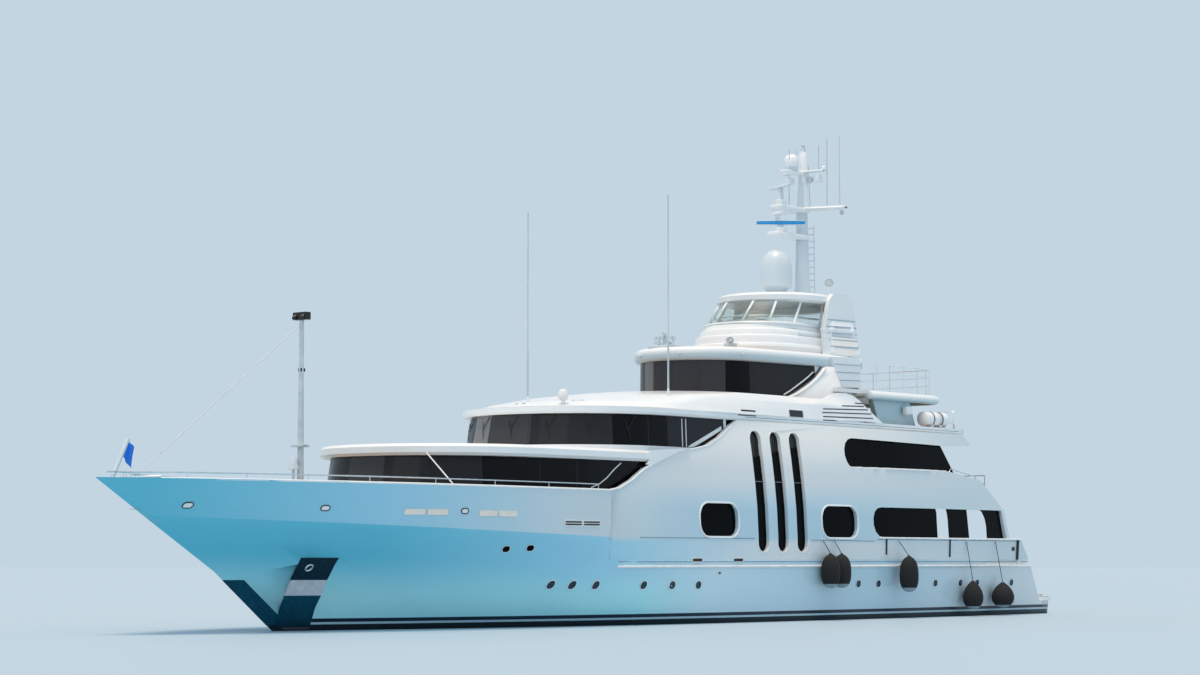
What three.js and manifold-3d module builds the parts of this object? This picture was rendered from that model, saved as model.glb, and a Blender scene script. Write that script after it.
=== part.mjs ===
// A four-deck motor yacht, 51.2 m long, as a scale model at 1:2.
// Millimetres of the model: +X to the bow, +Y to port, +Z up.
// The origin is on the centreline at half the length, at the waterline.
import * as THREE from "three";
import { mergeVertices } from "three/addons/utils/BufferGeometryUtils.js";
import Module from "manifold-3d";

const wasm = await Module();
wasm.setup();

// Driving dimensions
const HALF_LENGTH = 12800;
const HALF_BEAM = 2360;
const DRAFT = 1400;
const FIT = 0.3; // gap where two pieces meet
const RUNNING = 0.6; // gap where one piece turns or slides on another
const SHELL = 90; // side plating with its frames and lining
const WALL = 60; // deckhouse walls
const GLASS = 14;
const MAIN_DECK = 1200;
const FOREDECK = 2000;
const UPPER_DECK = 2600;
const BRIDGE_DECK = 4000;
const SUN_DECK = 5400;
const DECK_PLATE = 100;
const FORE_HOUSE_ROOF = 2995; // underside
const UPPER_HOUSE_ROOF = 3873; // underside, and the top of the side plating
const BREAK_X = 3000; // the foredeck ends here and the full-beam main deck begins
const STERN_X = -12550;

// Colours, with roughness and metalness
const WHITE = { color: 0xdfe6ea, roughness: 0.25, metalness: 0 };
const HULL_WHITE = { color: 0xd5dee4, roughness: 0.22, metalness: 0 };
const DARK_GLASS = { color: 0x14202a, roughness: 0.08, metalness: 0 };
const TEAK = { color: 0xa98258, roughness: 0.6, metalness: 0 };
const STEEL = { color: 0xc8ccd0, roughness: 0.2, metalness: 1 };
const GALVANISED = { color: 0x6f7f86, roughness: 0.5, metalness: 0.8 };
const BRONZE = { color: 0xa9824a, roughness: 0.35, metalness: 1 };
const BLACK = { color: 0x16181b, roughness: 0.5, metalness: 0 };
const BLUE = { color: 0x2f6fb0, roughness: 0.8, metalness: 0 };

const yacht = new THREE.Group();

// Solids

function toSolid(geometry) {
  const plain = geometry.index ? geometry.toNonIndexed() : geometry.clone();
  const bare = new THREE.BufferGeometry();
  bare.setAttribute("position", plain.getAttribute("position"));
  const merged = mergeVertices(bare, 1e-3);
  const triVerts = new Uint32Array(merged.index.array);
  const vertProperties = merged.attributes.position.array;
  const made = new wasm.Manifold(new wasm.Mesh({ numProp: 3, vertProperties, triVerts }));
  if (made.volume() > 0) return made;
  for (let i = 0; i < triVerts.length; i += 3) {
    [triVerts[i + 1], triVerts[i + 2]] = [triVerts[i + 2], triVerts[i + 1]];
  }
  return new wasm.Manifold(new wasm.Mesh({ numProp: 3, vertProperties, triVerts }));
}

function join(...solids) {
  return solids.reduce((all, one) => all.add(one));
}

function cut(solid, ...tools) {
  return tools.reduce((left, tool) => left.subtract(tool), solid);
}

function mirrored(solid) {
  return solid.mirror([0, 1, 0]);
}

// The ring seen along the axis that shows it largest, or in the plane of two given axes
function flatRing(ring, plane) {
  const planes = plane ? [plane] : [[0, 1], [1, 2], [2, 0]];
  const views = planes.map(([a, b]) => ring.map((p) => new THREE.Vector2(p[a], p[b])));
  const size = (view) => Math.abs(THREE.ShapeUtils.area(view));
  return views.reduce((best, view) => (size(view) > size(best) ? view : best));
}

// A closed skin through rings that have the same number of points [x, y, z], with flat ends.
// The two halves of each ring are split the mirrored way, so a symmetric ring gives a symmetric skin.
function loft(rings, endPlane) {
  const count = rings[0].length;
  const corners = rings.flat();
  const faces = [];
  for (let ring = 0; ring + 1 < rings.length; ring++) {
    for (let i = 0; i < count; i++) {
      const a = ring * count + i;
      const b = ring * count + ((i + 1) % count);
      const [from, to] = i < (count - 1) / 2 ? [a, b + count] : [b, a + count];
      faces.push([a, b, to], [from, b + count, a + count]);
    }
  }
  for (const [index, along] of [[0, -1], [rings.length - 1, 1]]) {
    const start = index * count;
    const flat = flatRing(rings[index], endPlane);
    const turn = Math.sign(THREE.ShapeUtils.area(flat)) * along;
    for (const [a, b, c] of THREE.ShapeUtils.triangulateShape(flat, [])) {
      const same = Math.sign(THREE.ShapeUtils.area([flat[a], flat[b], flat[c]])) === turn;
      faces.push(same ? [start + a, start + b, start + c] : [start + a, start + c, start + b]);
    }
  }
  const geometry = new THREE.BufferGeometry();
  geometry.setAttribute("position", new THREE.Float32BufferAttribute(corners.flat(), 3));
  geometry.setIndex(faces.flat());
  return toSolid(geometry);
}

// Plan outlines stacked at heights: [[z, outline], ...]
function stack(levels) {
  return loft(levels.map(([z, outline]) => outline.map(([x, y]) => [x, y, z])));
}

// An outline whose corners are rounded, each from `radius` before it to `radius` after it
function rounded(points, radius, segments = 4) {
  return points.flatMap(([x, y], i) => {
    const ends = [points.at(i - 1), points[(i + 1) % points.length]].map(([a, b]) => {
      const share = Math.min(0.5, radius / Math.hypot(a - x, b - y));
      return [x + (a - x) * share, y + (b - y) * share];
    });
    const arc = [];
    for (let k = 0; k <= segments; k++) {
      const t = k / segments;
      const weigh = (j) => (1 - t) ** 2 * ends[0][j] + 2 * t * (1 - t) * [x, y][j] + t ** 2 * ends[1][j];
      arc.push([weigh(0), weigh(1)]);
    }
    return arc;
  });
}

function extrude(points, depth) {
  const shape = new THREE.Shape(points.map(([a, b]) => new THREE.Vector2(a, b)));
  return new THREE.ExtrudeGeometry(shape, { depth, bevelEnabled: false });
}

// A plate of side-view outline [[x, z], ...] between two values of y
function sidePlate(points, y0, y1) {
  const turned = new THREE.Matrix4().makeBasis(
    new THREE.Vector3(1, 0, 0), new THREE.Vector3(0, 0, 1), new THREE.Vector3(0, -1, 0));
  return toSolid(extrude(points, y1 - y0).applyMatrix4(turned).translate(0, y1, 0));
}

// A plate of end-view outline [[y, z], ...] between two values of x
function crossPlate(points, x0, x1) {
  const turned = new THREE.Matrix4().makeBasis(
    new THREE.Vector3(0, 1, 0), new THREE.Vector3(0, 0, 1), new THREE.Vector3(1, 0, 0));
  return toSolid(extrude(points, x1 - x0).applyMatrix4(turned).translate(x0, 0, 0));
}

function block(x0, x1, y0, y1, z0, z1) {
  const box = new THREE.BoxGeometry(x1 - x0, y1 - y0, z1 - z0);
  return toSolid(box.translate((x0 + x1) / 2, (y0 + y1) / 2, (z0 + z1) / 2));
}

// A round bar from one point to another, of radius r at the first and rEnd at the second
function bar(from, to, r, rEnd = r, sides = 8) {
  const a = new THREE.Vector3(...from);
  const b = new THREE.Vector3(...to);
  const along = b.clone().sub(a);
  const geometry = new THREE.CylinderGeometry(rEnd, r, along.length(), sides);
  geometry.applyQuaternion(
    new THREE.Quaternion().setFromUnitVectors(new THREE.Vector3(0, 1, 0), along.clone().normalize()));
  const middle = a.add(b).multiplyScalar(0.5);
  return toSolid(geometry.translate(middle.x, middle.y, middle.z));
}

// A bent pipe through points, mitred at each bend. No length of it may stand upright.
function pipe(points, r, sides = 5) {
  const place = points.map((p) => new THREE.Vector3(...p));
  const rings = place.map((here, i) => {
    const before = here.clone().sub(place[Math.max(0, i - 1)]).normalize();
    const after = place[Math.min(place.length - 1, i + 1)].clone().sub(here).normalize();
    const along = before.add(after).normalize();
    const across = along.clone().cross(new THREE.Vector3(0, 0, 1)).normalize();
    const up = across.clone().cross(along);
    const ring = [];
    for (let k = 0; k < sides; k++) {
      const turn = (2 * Math.PI * k) / sides;
      const point = here.clone().addScaledVector(across, r * Math.cos(turn));
      ring.push(point.addScaledVector(up, r * Math.sin(turn)).toArray());
    }
    return ring;
  });
  return loft(rings);
}

function turned(profile, x, y, z, sides = 20) {
  const points = profile.map(([r, height]) => new THREE.Vector2(r, height));
  const geometry = new THREE.LatheGeometry(points, sides).rotateX(Math.PI / 2);
  return toSolid(geometry.translate(x, y, z));
}

function addPiece(name, solid, finish) {
  const mesh = solid.getMesh();
  const position = new Float32Array(mesh.numVert * 3);
  for (let i = 0; i < mesh.numVert; i++) {
    position.set(mesh.vertProperties.subarray(i * mesh.numProp, i * mesh.numProp + 3), i * 3);
  }
  const geometry = new THREE.BufferGeometry();
  geometry.setAttribute("position", new THREE.BufferAttribute(position, 3));
  geometry.setIndex(new THREE.BufferAttribute(mesh.triVerts, 1));
  const piece = new THREE.Mesh(geometry, new THREE.MeshStandardMaterial({ ...finish, flatShading: true }));
  piece.name = name;
  yacht.add(piece);
}

function addPair(name, portSolid, finish) {
  addPiece(name + "_port", portSolid, finish);
  addPiece(name + "_starboard", mirrored(portSolid), finish);
}

// Hull form: one row for each level from the keel to the rail.
// z amidships, z at the stem, z at the stern, x of the stem, half-breadth amidships,
// half-breadth at the stern, x where the full breadth begins, fullness of the bow
const HULL_LEVELS = [
  { z: -1150, zStem: -1150, zStern: -380, stem: 6300, half: 70, stern: 70, full: 4000, power: 2 },
  { z: -950, zStem: -950, zStern: -330, stem: 7500, half: 1250, stern: 950, full: -3000, power: 1.7 },
  { z: -550, zStem: -550, zStern: -200, stem: 8450, half: 1950, stern: 1600, full: -3000, power: 1.8 },
  { z: 0, zStem: 0, zStern: 0, stem: 9015, half: 2250, stern: 1900, full: -3000, power: 2.1 },
  { z: 1000, zStem: 1000, zStern: 1000, stem: 10310, half: 2345, stern: 2020, full: 1500, power: 2.3 },
  { z: 1550, zStem: 1850, zStern: 1550, stem: 11730, half: HALF_BEAM, stern: 2080, full: 2500, power: 2.6 },
  {
    z: 2450, zStem: 2500, zStern: 2450, stem: HALF_LENGTH, half: HALF_BEAM, stern: 2080, full: 2500,
    power: 2.8,
  },
];
const STEM_HALF = 15;
const RUN_X = -2000; // the bottom begins to rise to the stern
const TAPER_X = -5000; // the sides begin to close in to the stern
const STATIONS = [0, 0.06, 0.12, 0.2, 0.3, 0.42, 0.54, 0.64, 0.72, 0.79, 0.85, 0.9, 0.94, 0.97, 0.99, 1];

function hullPoint(level, x) {
  let half = level.half;
  if (x > level.full) {
    const left = Math.min(1, (x - level.full) / (level.stem - level.full));
    half = level.half * (1 - left ** level.power);
  } else if (x < TAPER_X) {
    half = level.half - (level.half - level.stern) * ((TAPER_X - x) / (TAPER_X - STERN_X)) ** 1.8;
  }
  let z = level.z;
  if (x < RUN_X && level.z < 0) z += (level.zStern - level.z) * ((RUN_X - x) / (RUN_X - STERN_X)) ** 1.4;
  if (x > BREAK_X) z += ((level.zStem - level.z) * (x - BREAK_X)) / (level.stem - BREAK_X);
  return { half: Math.max(STEM_HALF, half), z };
}

// Half-breadth of the outer skin at x and z, above the keel
function hullHalf(x, z) {
  const at = HULL_LEVELS.map((level) => (x > level.stem ? null : hullPoint(level, x)));
  for (let i = 0; i + 1 < at.length; i++) {
    const upper = at[i + 1];
    if (upper && (z <= upper.z || i + 2 === at.length)) {
      if (!at[i]) return STEM_HALF;
      const share = Math.min(1, Math.max(0, (z - at[i].z) / (upper.z - at[i].z)));
      return at[i].half + (upper.half - at[i].half) * share;
    }
  }
  return STEM_HALF;
}

// The whole form, or one that is `grow` larger all round
function hullForm(grow = 0) {
  const rings = STATIONS.map((u) => {
    const side = HULL_LEVELS.map((level, i) => {
      const x = STERN_X + (level.stem - STERN_X) * u;
      const { half, z } = hullPoint(level, x);
      const down = i < 3 ? -grow : 0;
      return [x, half + grow, z + (i === HULL_LEVELS.length - 1 ? grow : down)];
    });
    const [keel, top] = [side[0], side.at(-1)];
    return [...side, [top[0], -5, top[2]], [keel[0], -5, keel[2]]];
  });
  const port = loft(rings, [1, 2]);
  return join(port, mirrored(port));
}

// Above the knuckle the sides lean in
const KNUCKLE = 1620;
const LEAN = 280;
function sideHalf(x, z) {
  if (z <= KNUCKLE) return hullHalf(x, z);
  return hullHalf(x, KNUCKLE) - LEAN * ((z - KNUCKLE) / (BRIDGE_DECK - 50 - KNUCKLE)) ** 1.6;
}

const SIDE_STATIONS = [3000, 1500, 0, -5000, -6500, -8000, -9500, -10800, -11600];
const SIDE_LEVELS = [1200.3, 1620, 2200, 2700, 3150, 3550, 3900];
function sideBand(outer, inner) {
  const rings = SIDE_STATIONS.map((x) => {
    const out = SIDE_LEVELS.map((z) => [x, sideHalf(x, z) - outer, z]);
    const back = SIDE_LEVELS.map((z) => [x, sideHalf(x, z) - inner, z]).reverse();
    return [...out, ...back];
  });
  return loft(rings);
}

// A plan outline with a round nose: the arc's centre on the centreline, its radius, and the
// port side behind it as [x, y] from aft. `grow` moves it out, `aft` runs its after end on.
function nose({ centre, radius, side, segments = 16 }, grow = 0, aft = 0) {
  const port = side.map(([x, y]) => [x, y + grow]);
  if (aft) {
    const [x1, y1] = port[1] ?? [centre, radius + grow];
    const [x0, y0] = port[0];
    port[0] = [x0 + aft, y0 + ((y1 - y0) / (x1 - x0)) * aft];
  }
  const arc = [];
  for (let i = 0; i <= segments; i++) {
    const turn = Math.PI * (i / segments - 0.5);
    arc.push([centre + (radius + grow) * Math.cos(turn), (radius + grow) * Math.sin(turn)]);
  }
  return [...port.map(([x, y]) => [x, -y]), ...arc, ...port.reverse()];
}

function mix(low, high, t) {
  return {
    centre: low.centre + (high.centre - low.centre) * t,
    radius: low.radius + (high.radius - low.radius) * t,
    side: low.side.map(([x, y], i) => [x + (high.side[i][0] - x) * t, y + (high.side[i][1] - y) * t]),
  };
}

// Hull, decked over at the main deck and at the foredeck
const WHOLE_HULL = hullForm();
const HULL_AND_GAP = hullForm(FIT);
const PLATFORM_TOP = 370;
const TRANSOM_TOP_X = -11450;
const TRANSOM_FOOT_X = -12140;
const GARAGE = { front: -9700, half: 1150, floor: 420, roof: 1080 };
const GARAGE_FRAME = 40;

function transomX(z) {
  return TRANSOM_TOP_X + ((TRANSOM_FOOT_X - TRANSOM_TOP_X) * (MAIN_DECK - z)) / (MAIN_DECK - PLATFORM_TOP);
}

const STAIR = { inner: 1350, outer: 1800, steps: 4, tread: 190 };
const DECK_PAD = { x: [9300, 9500], y: [300, 500], rise: 12 };
const RUDDER = { x: -10750, y: 950, top: -560, foot: -1340, chord: 620, stock: 42 };
const PROPELLER = { x: -9700, y: 950, z: -980, radius: 350, hub: 70 };

// Chafing plate let into each bow, with the ring of the hawse pipe near its top
const POCKET = [[9156, 1223], [8568, 1223], [8400, 60], [8975, 60]];
const POCKET_DEPTH = 30;
const PLATE_REVEAL = 4;
const HAWSE = { at: [8891, 752, 1090], out: [0.31, 0.72, -0.62], outer: 82, bore: 50, stand: 35 };
// The layer of the port skin between two depths, measured across the ship
function portSkin(outer, inner, outline) {
  const layer = cut(WHOLE_HULL.translate([0, -outer, 0]), WHOLE_HULL.translate([0, -inner, 0]));
  return layer.intersect(sidePlate(outline, 60, 2500));
}

// White rub rail along each side, pointed at its fore end
const RUB_RAIL = { low: 1045, high: 1095, stand: 45 };
function buildRubRail() {
  const rings = [2760, 2400, 0, -5000, -6500, -8000, -9500, -10800, -11580].map((x, i) => {
    const y = hullHalf(x, 1070) + (i ? RUB_RAIL.stand : 4);
    const { low, high } = RUB_RAIL;
    return [[x, y - 90, low], [x, y, low + 8], [x, y, high - 8], [x, y - 90, high]];
  });
  return loft(rings);
}

function buildHull() {
  const lower = cut(
    WHOLE_HULL,
    block(-14000, BREAK_X, -3000, 3000, MAIN_DECK, 3000),
    block(BREAK_X - 1, 14000, -3000, 3000, FOREDECK, 3000),
    sidePlate([[TRANSOM_TOP_X, 1500], [TRANSOM_TOP_X, MAIN_DECK], [TRANSOM_FOOT_X, PLATFORM_TOP - 80],
      [-14000, PLATFORM_TOP - 80], [-14000, 1500]], -3000, 3000),
    sidePlate([[GARAGE.front, GARAGE.floor], [-13000, GARAGE.floor], [-13000, GARAGE.roof],
      [GARAGE.front, GARAGE.roof]], -GARAGE.half, GARAGE.half),
  );
  const keel = sidePlate(
    [[-7500, -300], [-7000, -DRAFT], [4200, -DRAFT], [6000, -1100], [5000, -300]], -80, 80);
  const rise = (MAIN_DECK - PLATFORM_TOP) / STAIR.steps;
  const steps = [];
  for (const side of [-1, 1]) {
    for (let i = 1; i < STAIR.steps + 1; i++) {
      const back = TRANSOM_TOP_X + 650 - STAIR.tread * i;
      const y = [side * STAIR.inner, side * STAIR.outer].sort((a, b) => a - b);
      steps.push(block(-14000, back, y[0], y[1], MAIN_DECK - rise * i, MAIN_DECK + 10));
    }
  }
  const bosses = [-1, 1].map((side) =>
    bar([RUDDER.x, side * RUDDER.y, RUDDER.top], [RUDDER.x, side * RUDDER.y, -200], 75, 110, 12));
  const pocket = portSkin(-10, POCKET_DEPTH, POCKET);
  const rubRail = buildRubRail();
  const pad = block(...DECK_PAD.x, ...DECK_PAD.y, FOREDECK - 10, FOREDECK + DECK_PAD.rise);
  return join(cut(lower, ...steps, pocket, mirrored(pocket)), keel, ...bosses, pad,
    mirrored(pad), rubRail, mirrored(rubRail));
}
// The hull is joined from two blocks: the stern one holds the garage and the stairs
const STERN_JOINT_X = -9650;
const WELDED_HULL = buildHull();
const hullBlock = (aft, fore) => WELDED_HULL.intersect(block(aft, fore, -3000, 3000, -3000, 3000));
addPiece("hull", hullBlock(STERN_JOINT_X, 14000), HULL_WHITE);
addPiece("stern", hullBlock(-14000, STERN_JOINT_X - FIT), HULL_WHITE);
const POCKET_PLATE = [[9155, 1222], [8569, 1222], [8401, 61], [8974, 61]];
function buildChafingPlate() {
  const plate = portSkin(PLATE_REVEAL, POCKET_DEPTH - FIT, POCKET_PLATE);
  const { at, out, outer, bore, stand } = HAWSE;
  const along = (reach) => at.map((value, i) => value + out[i] * reach);
  const ring = cut(bar(along(-40), along(stand), outer, outer - 12, 16), WHOLE_HULL.translate([0, -10, 0]));
  return cut(join(plate, ring), bar(along(-12), along(stand + 10), bore, bore, 12));
}
addPair("anchor_plate", buildChafingPlate(), STEEL);

// Bulwark round the foredeck, in one with its cap and with the small deck in the nose
const NOSE_DECK_X = 11650;
const capZ = (x) => hullPoint(HULL_LEVELS.at(-1), x).z;
function wellOutline(z) {
  let end = NOSE_DECK_X;
  while (hullHalf(end, z) < SHELL + 40) end -= 10;
  const port = [0, 0.2, 0.4, 0.55, 0.7, 0.8, 0.88, 0.95, 1].map((share) => {
    const x = 2900 + (end - 2900) * share;
    return [x, hullHalf(x, z) - SHELL];
  });
  return [...port.map(([x, y]) => [x, -y]), ...port.reverse()];
}
const FORE_WELL = stack([[FOREDECK - 10, wellOutline(FOREDECK)], [2700, wellOutline(2490)]]);
addPiece(
  "fore_bulwark",
  cut(WHOLE_HULL.intersect(block(BREAK_X + FIT, 14000, -3000, 3000, FOREDECK + FIT, 3000)), FORE_WELL),
  HULL_WHITE,
);

// Side plating of the full-beam main deck and of the upper deck, with its openings
const SIDE_OUTLINE = [
  [3000, 1200], [3000, 2452], [2700, 2500], [2350, 2640], [1950, 2860], [1600, 2990],
  [1000, 3200], [300, 3300], [0, 3355], [-400, 3520], [-800, 3760], [-1050, 3873],
  [-9050, 3873], [-9300, 3640], [-8200, 3600], [-4740, 3650], [-4610, 3620], [-4500, 3540],
  [-4440, 3420], [-4430, 3290], [-4470, 3170], [-4540, 3090], [-4640, 3050], [-8230, 3060],
  [-9520, 2890], [-10380, 2260], [-10560, 1646], [-11060, 1630], [-11450, 1200],
];
const MAIN_OPENING = [[-5560, 1650], [-5400, 1670], [-5270, 1760], [-5210, 1900], [-5210, 2040],
  [-5270, 2170], [-5380, 2240], [-5520, 2260], [-10250, 2260], [-10430, 1650]];
// Two windows of the main deck, and three slits that run up through both decks
const WINDOWS = [
  { fore: 430, aft: -740, low: 1640, high: 2270, corner: 260 },
  { fore: -3430, aft: -4640, low: 1640, high: 2270, corner: 260 },
  { fore: -1350, aft: -1690, low: 1350, high: 3680, corner: 170 },
  { fore: -1975, aft: -2315, low: 1350, high: 3680, corner: 170 },
  { fore: -2600, aft: -2940, low: 1350, high: 3680, corner: 170 },
];

function windowOutline({ fore, aft, low, high, corner }) {
  return rounded([[aft, low], [fore, low], [fore, high], [aft, high]], corner);
}

// Glass bonded behind the plating: one sheet over windows and slits, with panes that run on
// behind the two long openings. A low strip joins the three panes of the main deck.
const GLAZING = { fore: 700, aft: -4900, low: 1300, high: 3740, depth: 20 };
const PANES = [
  [[-4000, 3010], [-8560, 3010], [-8120, 3650], [-4000, 3650]],
  [[-4000, 1590], [-7680, 1590], [-7680, 2180], [-7640, 2310], [-4000, 2310]],
  [[-4000, 1590], [-10420, 1590], [-10420, 1648], [-4000, 1648]],
  [[-8150, 1600], [-8960, 1600], [-8900, 2310], [-8060, 2310], [-8110, 2200], [-8140, 2050]],
  [[-9720, 1600], [-10415, 1600], [-10250, 2310], [-9430, 2310], [-9430, 2280], [-9560, 2220],
    [-9670, 2080], [-9715, 1920]],
];
const SHEET = [[GLAZING.fore, GLAZING.low], [GLAZING.aft, GLAZING.low], [GLAZING.aft, GLAZING.high],
  [GLAZING.fore, GLAZING.low + 1500]];
// The glass in side view, or the recess for it, which is `gap` larger all round
function glazingPlate(gap) {
  const glass = join(...[SHEET, ...PANES].map((outline) => sidePlate(outline, 1500, 3000)));
  if (!gap) return glass;
  const shifts = [[0, 0], [-gap, -gap], [gap, -gap], [gap, gap], [-gap, gap]];
  return join(...shifts.map(([x, z]) => glass.translate([x, 0, z])));
}

function buildSideShell() {
  const plate = cut(
    sidePlate(SIDE_OUTLINE, 1500, 3000),
    sidePlate(MAIN_OPENING, 1400, 3100),
    ...WINDOWS.map((window) => sidePlate(windowOutline(window), 1400, 3100)),
  );
  const rebate = sideBand(SHELL - GLAZING.depth, SHELL + 30).intersect(glazingPlate(FIT));
  return cut(sideBand(0, SHELL).intersect(plate), rebate);
}
addPair("side_shell", buildSideShell(), HULL_WHITE);
addPair("side_glazing", sideBand(SHELL - GLAZING.depth + FIT, SHELL).intersect(glazingPlate(0)), DARK_GLASS);

// What lies between the side shells is trimmed to them
const SIDE_AND_GAP = sideBand(-500, SHELL + FIT);
function betweenShells(solid) {
  return cut(solid, SIDE_AND_GAP, mirrored(SIDE_AND_GAP));
}

function deckOutline(z, fore, aft, round) {
  const stations = [aft + round, -8000, -6500, -5000, fore].filter((x) => x >= aft + round);
  const port = stations.map((x) => [x, sideHalf(x, z) - SHELL + 10]);
  const [[, halfAft]] = port;
  const corner = [];
  for (let i = 1; i <= 4; i++) {
    const turn = (Math.PI / 2) * (i / 4);
    corner.push([aft + round * (1 - Math.sin(turn)), halfAft - round * (1 - Math.cos(turn))]);
  }
  const edge = [...corner.reverse(), ...port];
  return [...edge.map(([x, y]) => [x, -y]), ...edge.reverse()];
}
const upperDeck = stack(
  [UPPER_DECK - DECK_PLATE, UPPER_DECK].map((z) => [z, deckOutline(z, 1590, -10150, 500)]));
addPiece("upper_deck", betweenShells(upperDeck), TEAK);

// Deckhouses with round fronts: walls raked back, one glass band bonded over the pillars.
// `panes` are the arcs of the front panes in degrees from the bow, `sidePanes` are x fore and aft.
const PILLAR = 50;
const FORE_HOUSE = {
  low: MAIN_DECK + FIT, high: FORE_HOUSE_ROOF - FIT, sill: 2450, head: 2970, glassAft: 1700,
  base: { centre: 5500, radius: 1850, side: [[1600, 2130], [3300, 2100]] },
  top: { centre: 5250, radius: 1780, side: [[1600, 2110], [3300, 2090]] },
  panes: [-84, -60, -36, -12, 12, 36, 60, 84],
  sidePanes: [[5250, 4450], [4400, 3600], [3550, 2750]],
};
const UPPER_HOUSE = {
  low: UPPER_DECK + FIT, high: UPPER_HOUSE_ROOF - FIT, sill: 3300, head: 3850, glassAft: -720,
  base: { centre: 1490, radius: 2060, side: [[-800, 2060], [600, 2060]] },
  top: { centre: 1290, radius: 2010, side: [[-800, 2000], [600, 2010]] },
  panes: [-86, -66, -44, -22, 0, 22, 44, 66, 86],
  sidePanes: [[1270, 450], [400, -500]],
};
const WHEELHOUSE = {
  low: BRIDGE_DECK + FIT, high: 5130, sill: 4480, head: 5110, glassAft: -4450,
  base: { centre: -2600, radius: 1280, side: [[-5650, 1560], [-4450, 1500]] },
  top: { centre: -2560, radius: 1240, side: [[-5650, 1460], [-4450, 1440]] },
  panes: [-88, -60, -36, -12, 12, 36, 60, 88],
  sidePanes: [[-2620, -3300], [-3350, -4050]],
};

function houseAt(house, z) {
  return mix(house.base, house.top, (z - house.low) / (house.high - house.low));
}

// The house's outer face moved out by `grow`, over its whole height and past its after end
function houseForm(house, grow) {
  return stack([house.low - 1, house.high + 1].map((z) => [z, nose(houseAt(house, z), grow, -500)]));
}

function layer(z0, z1, aft) {
  return block(aft, 20000, -3000, 3000, z0, z1);
}

// A wall of the given thickness behind the outer face, open aft
function houseBand(house, thickness, space) {
  return cut(houseForm(house, 0), houseForm(house, -thickness)).intersect(space);
}

function paneTools(house) {
  const { centre } = houseAt(house, (house.sill + house.head) / 2);
  const low = house.sill + PILLAR;
  const high = house.head - PILLAR;
  const reach = 4000;
  const tools = [];
  for (let i = 0; i + 1 < house.panes.length; i++) {
    const half = PILLAR / 2 / 2000;
    const from = (house.panes[i] * Math.PI) / 180 + half;
    const to = (house.panes[i + 1] * Math.PI) / 180 - half;
    const outline = [[centre, 0], [centre + reach * Math.cos(from), reach * Math.sin(from)],
      [centre + reach * Math.cos(to), reach * Math.sin(to)]];
    tools.push(stack([[low, outline], [high, outline]]));
  }
  for (const [fore, aft] of house.sidePanes) tools.push(block(aft, fore, -3000, 3000, low, high));
  return tools;
}

function buildHouseWall(house) {
  const wall = houseBand(house, WALL, layer(house.low, house.high, house.base.side[0][0]));
  const skin = cut(houseForm(house, 200), houseForm(house, -GLASS - FIT));
  const rebate = skin.intersect(layer(house.sill - FIT, house.high + 1, house.glassAft));
  return cut(wall, rebate, ...paneTools(house));
}

function buildHouseGlass(house) {
  return houseBand(house, GLASS, layer(house.sill, house.high, house.glassAft + FIT));
}

// Fore house: on the foredeck forward, down to the main deck inside the side shells
addPiece(
  "fore_house_wall",
  betweenShells(cut(buildHouseWall(FORE_HOUSE), block(BREAK_X - FIT, 9000, -3000, 3000, 0, FOREDECK + FIT))),
  WHITE,
);
addPiece("fore_house_glass", buildHouseGlass(FORE_HOUSE), DARK_GLASS);
const FORE_ROOF_BASE = { centre: 4900, radius: 2230, side: [[-780, 2060], [1585, 2060], [1600, 2230]] };
addPiece(
  "fore_house_roof",
  cut(
    stack([
      [FORE_HOUSE_ROOF, nose(FORE_ROOF_BASE, -60)],
      [FORE_HOUSE_ROOF + 50, nose(FORE_ROOF_BASE)],
      [3150, nose(FORE_ROOF_BASE)],
      [3200, nose(FORE_ROOF_BASE, -60)],
    ]),
    block(-2000, 1590, -3000, 3000, 2000, 4000),
  ),
  WHITE,
);

// Upper house: its nose on the fore house roof, its after part down to the upper deck
addPiece(
  "upper_house_wall",
  betweenShells(cut(buildHouseWall(UPPER_HOUSE), block(1590 - FIT, 9000, -3000, 3000, 0, 3200 + FIT))),
  WHITE,
);
addPiece("upper_house_glass", buildHouseGlass(UPPER_HOUSE), DARK_GLASS);

// Bridge deck: the roof of the upper house and of the upper aft deck
const BRIDGE_EDGE = {
  centre: 1200, radius: 2230,
  side: [[-9520, 1200], [-9450, 1650], [-9300, 1850], [-9000, 1930], [-7000, 1985], [-5000, 2075],
    [-1050, 2085], [0, 2160]],
};
addPiece(
  "bridge_deck",
  stack([
    [UPPER_HOUSE_ROOF, nose(BRIDGE_EDGE, -40)],
    [UPPER_HOUSE_ROOF + 40, nose(BRIDGE_EDGE)],
    [BRIDGE_DECK, nose(BRIDGE_EDGE)],
  ]),
  WHITE,
);
const BELT_AFT = -5990;
const BELT = [
  // z, centre and radius of the nose, half-breadth aft
  [BRIDGE_DECK + FIT, 1000, 2190, 2060],
  [4120, 600, 2140, 2040],
  [4280, -300, 2080, 2010],
  [4420, -1500, 1960, 1970],
];
const BELT_WELL = { centre: -1600, radius: 1830, side: [[BELT_AFT - 500, 1880], [-4000, 1880]] };
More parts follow.
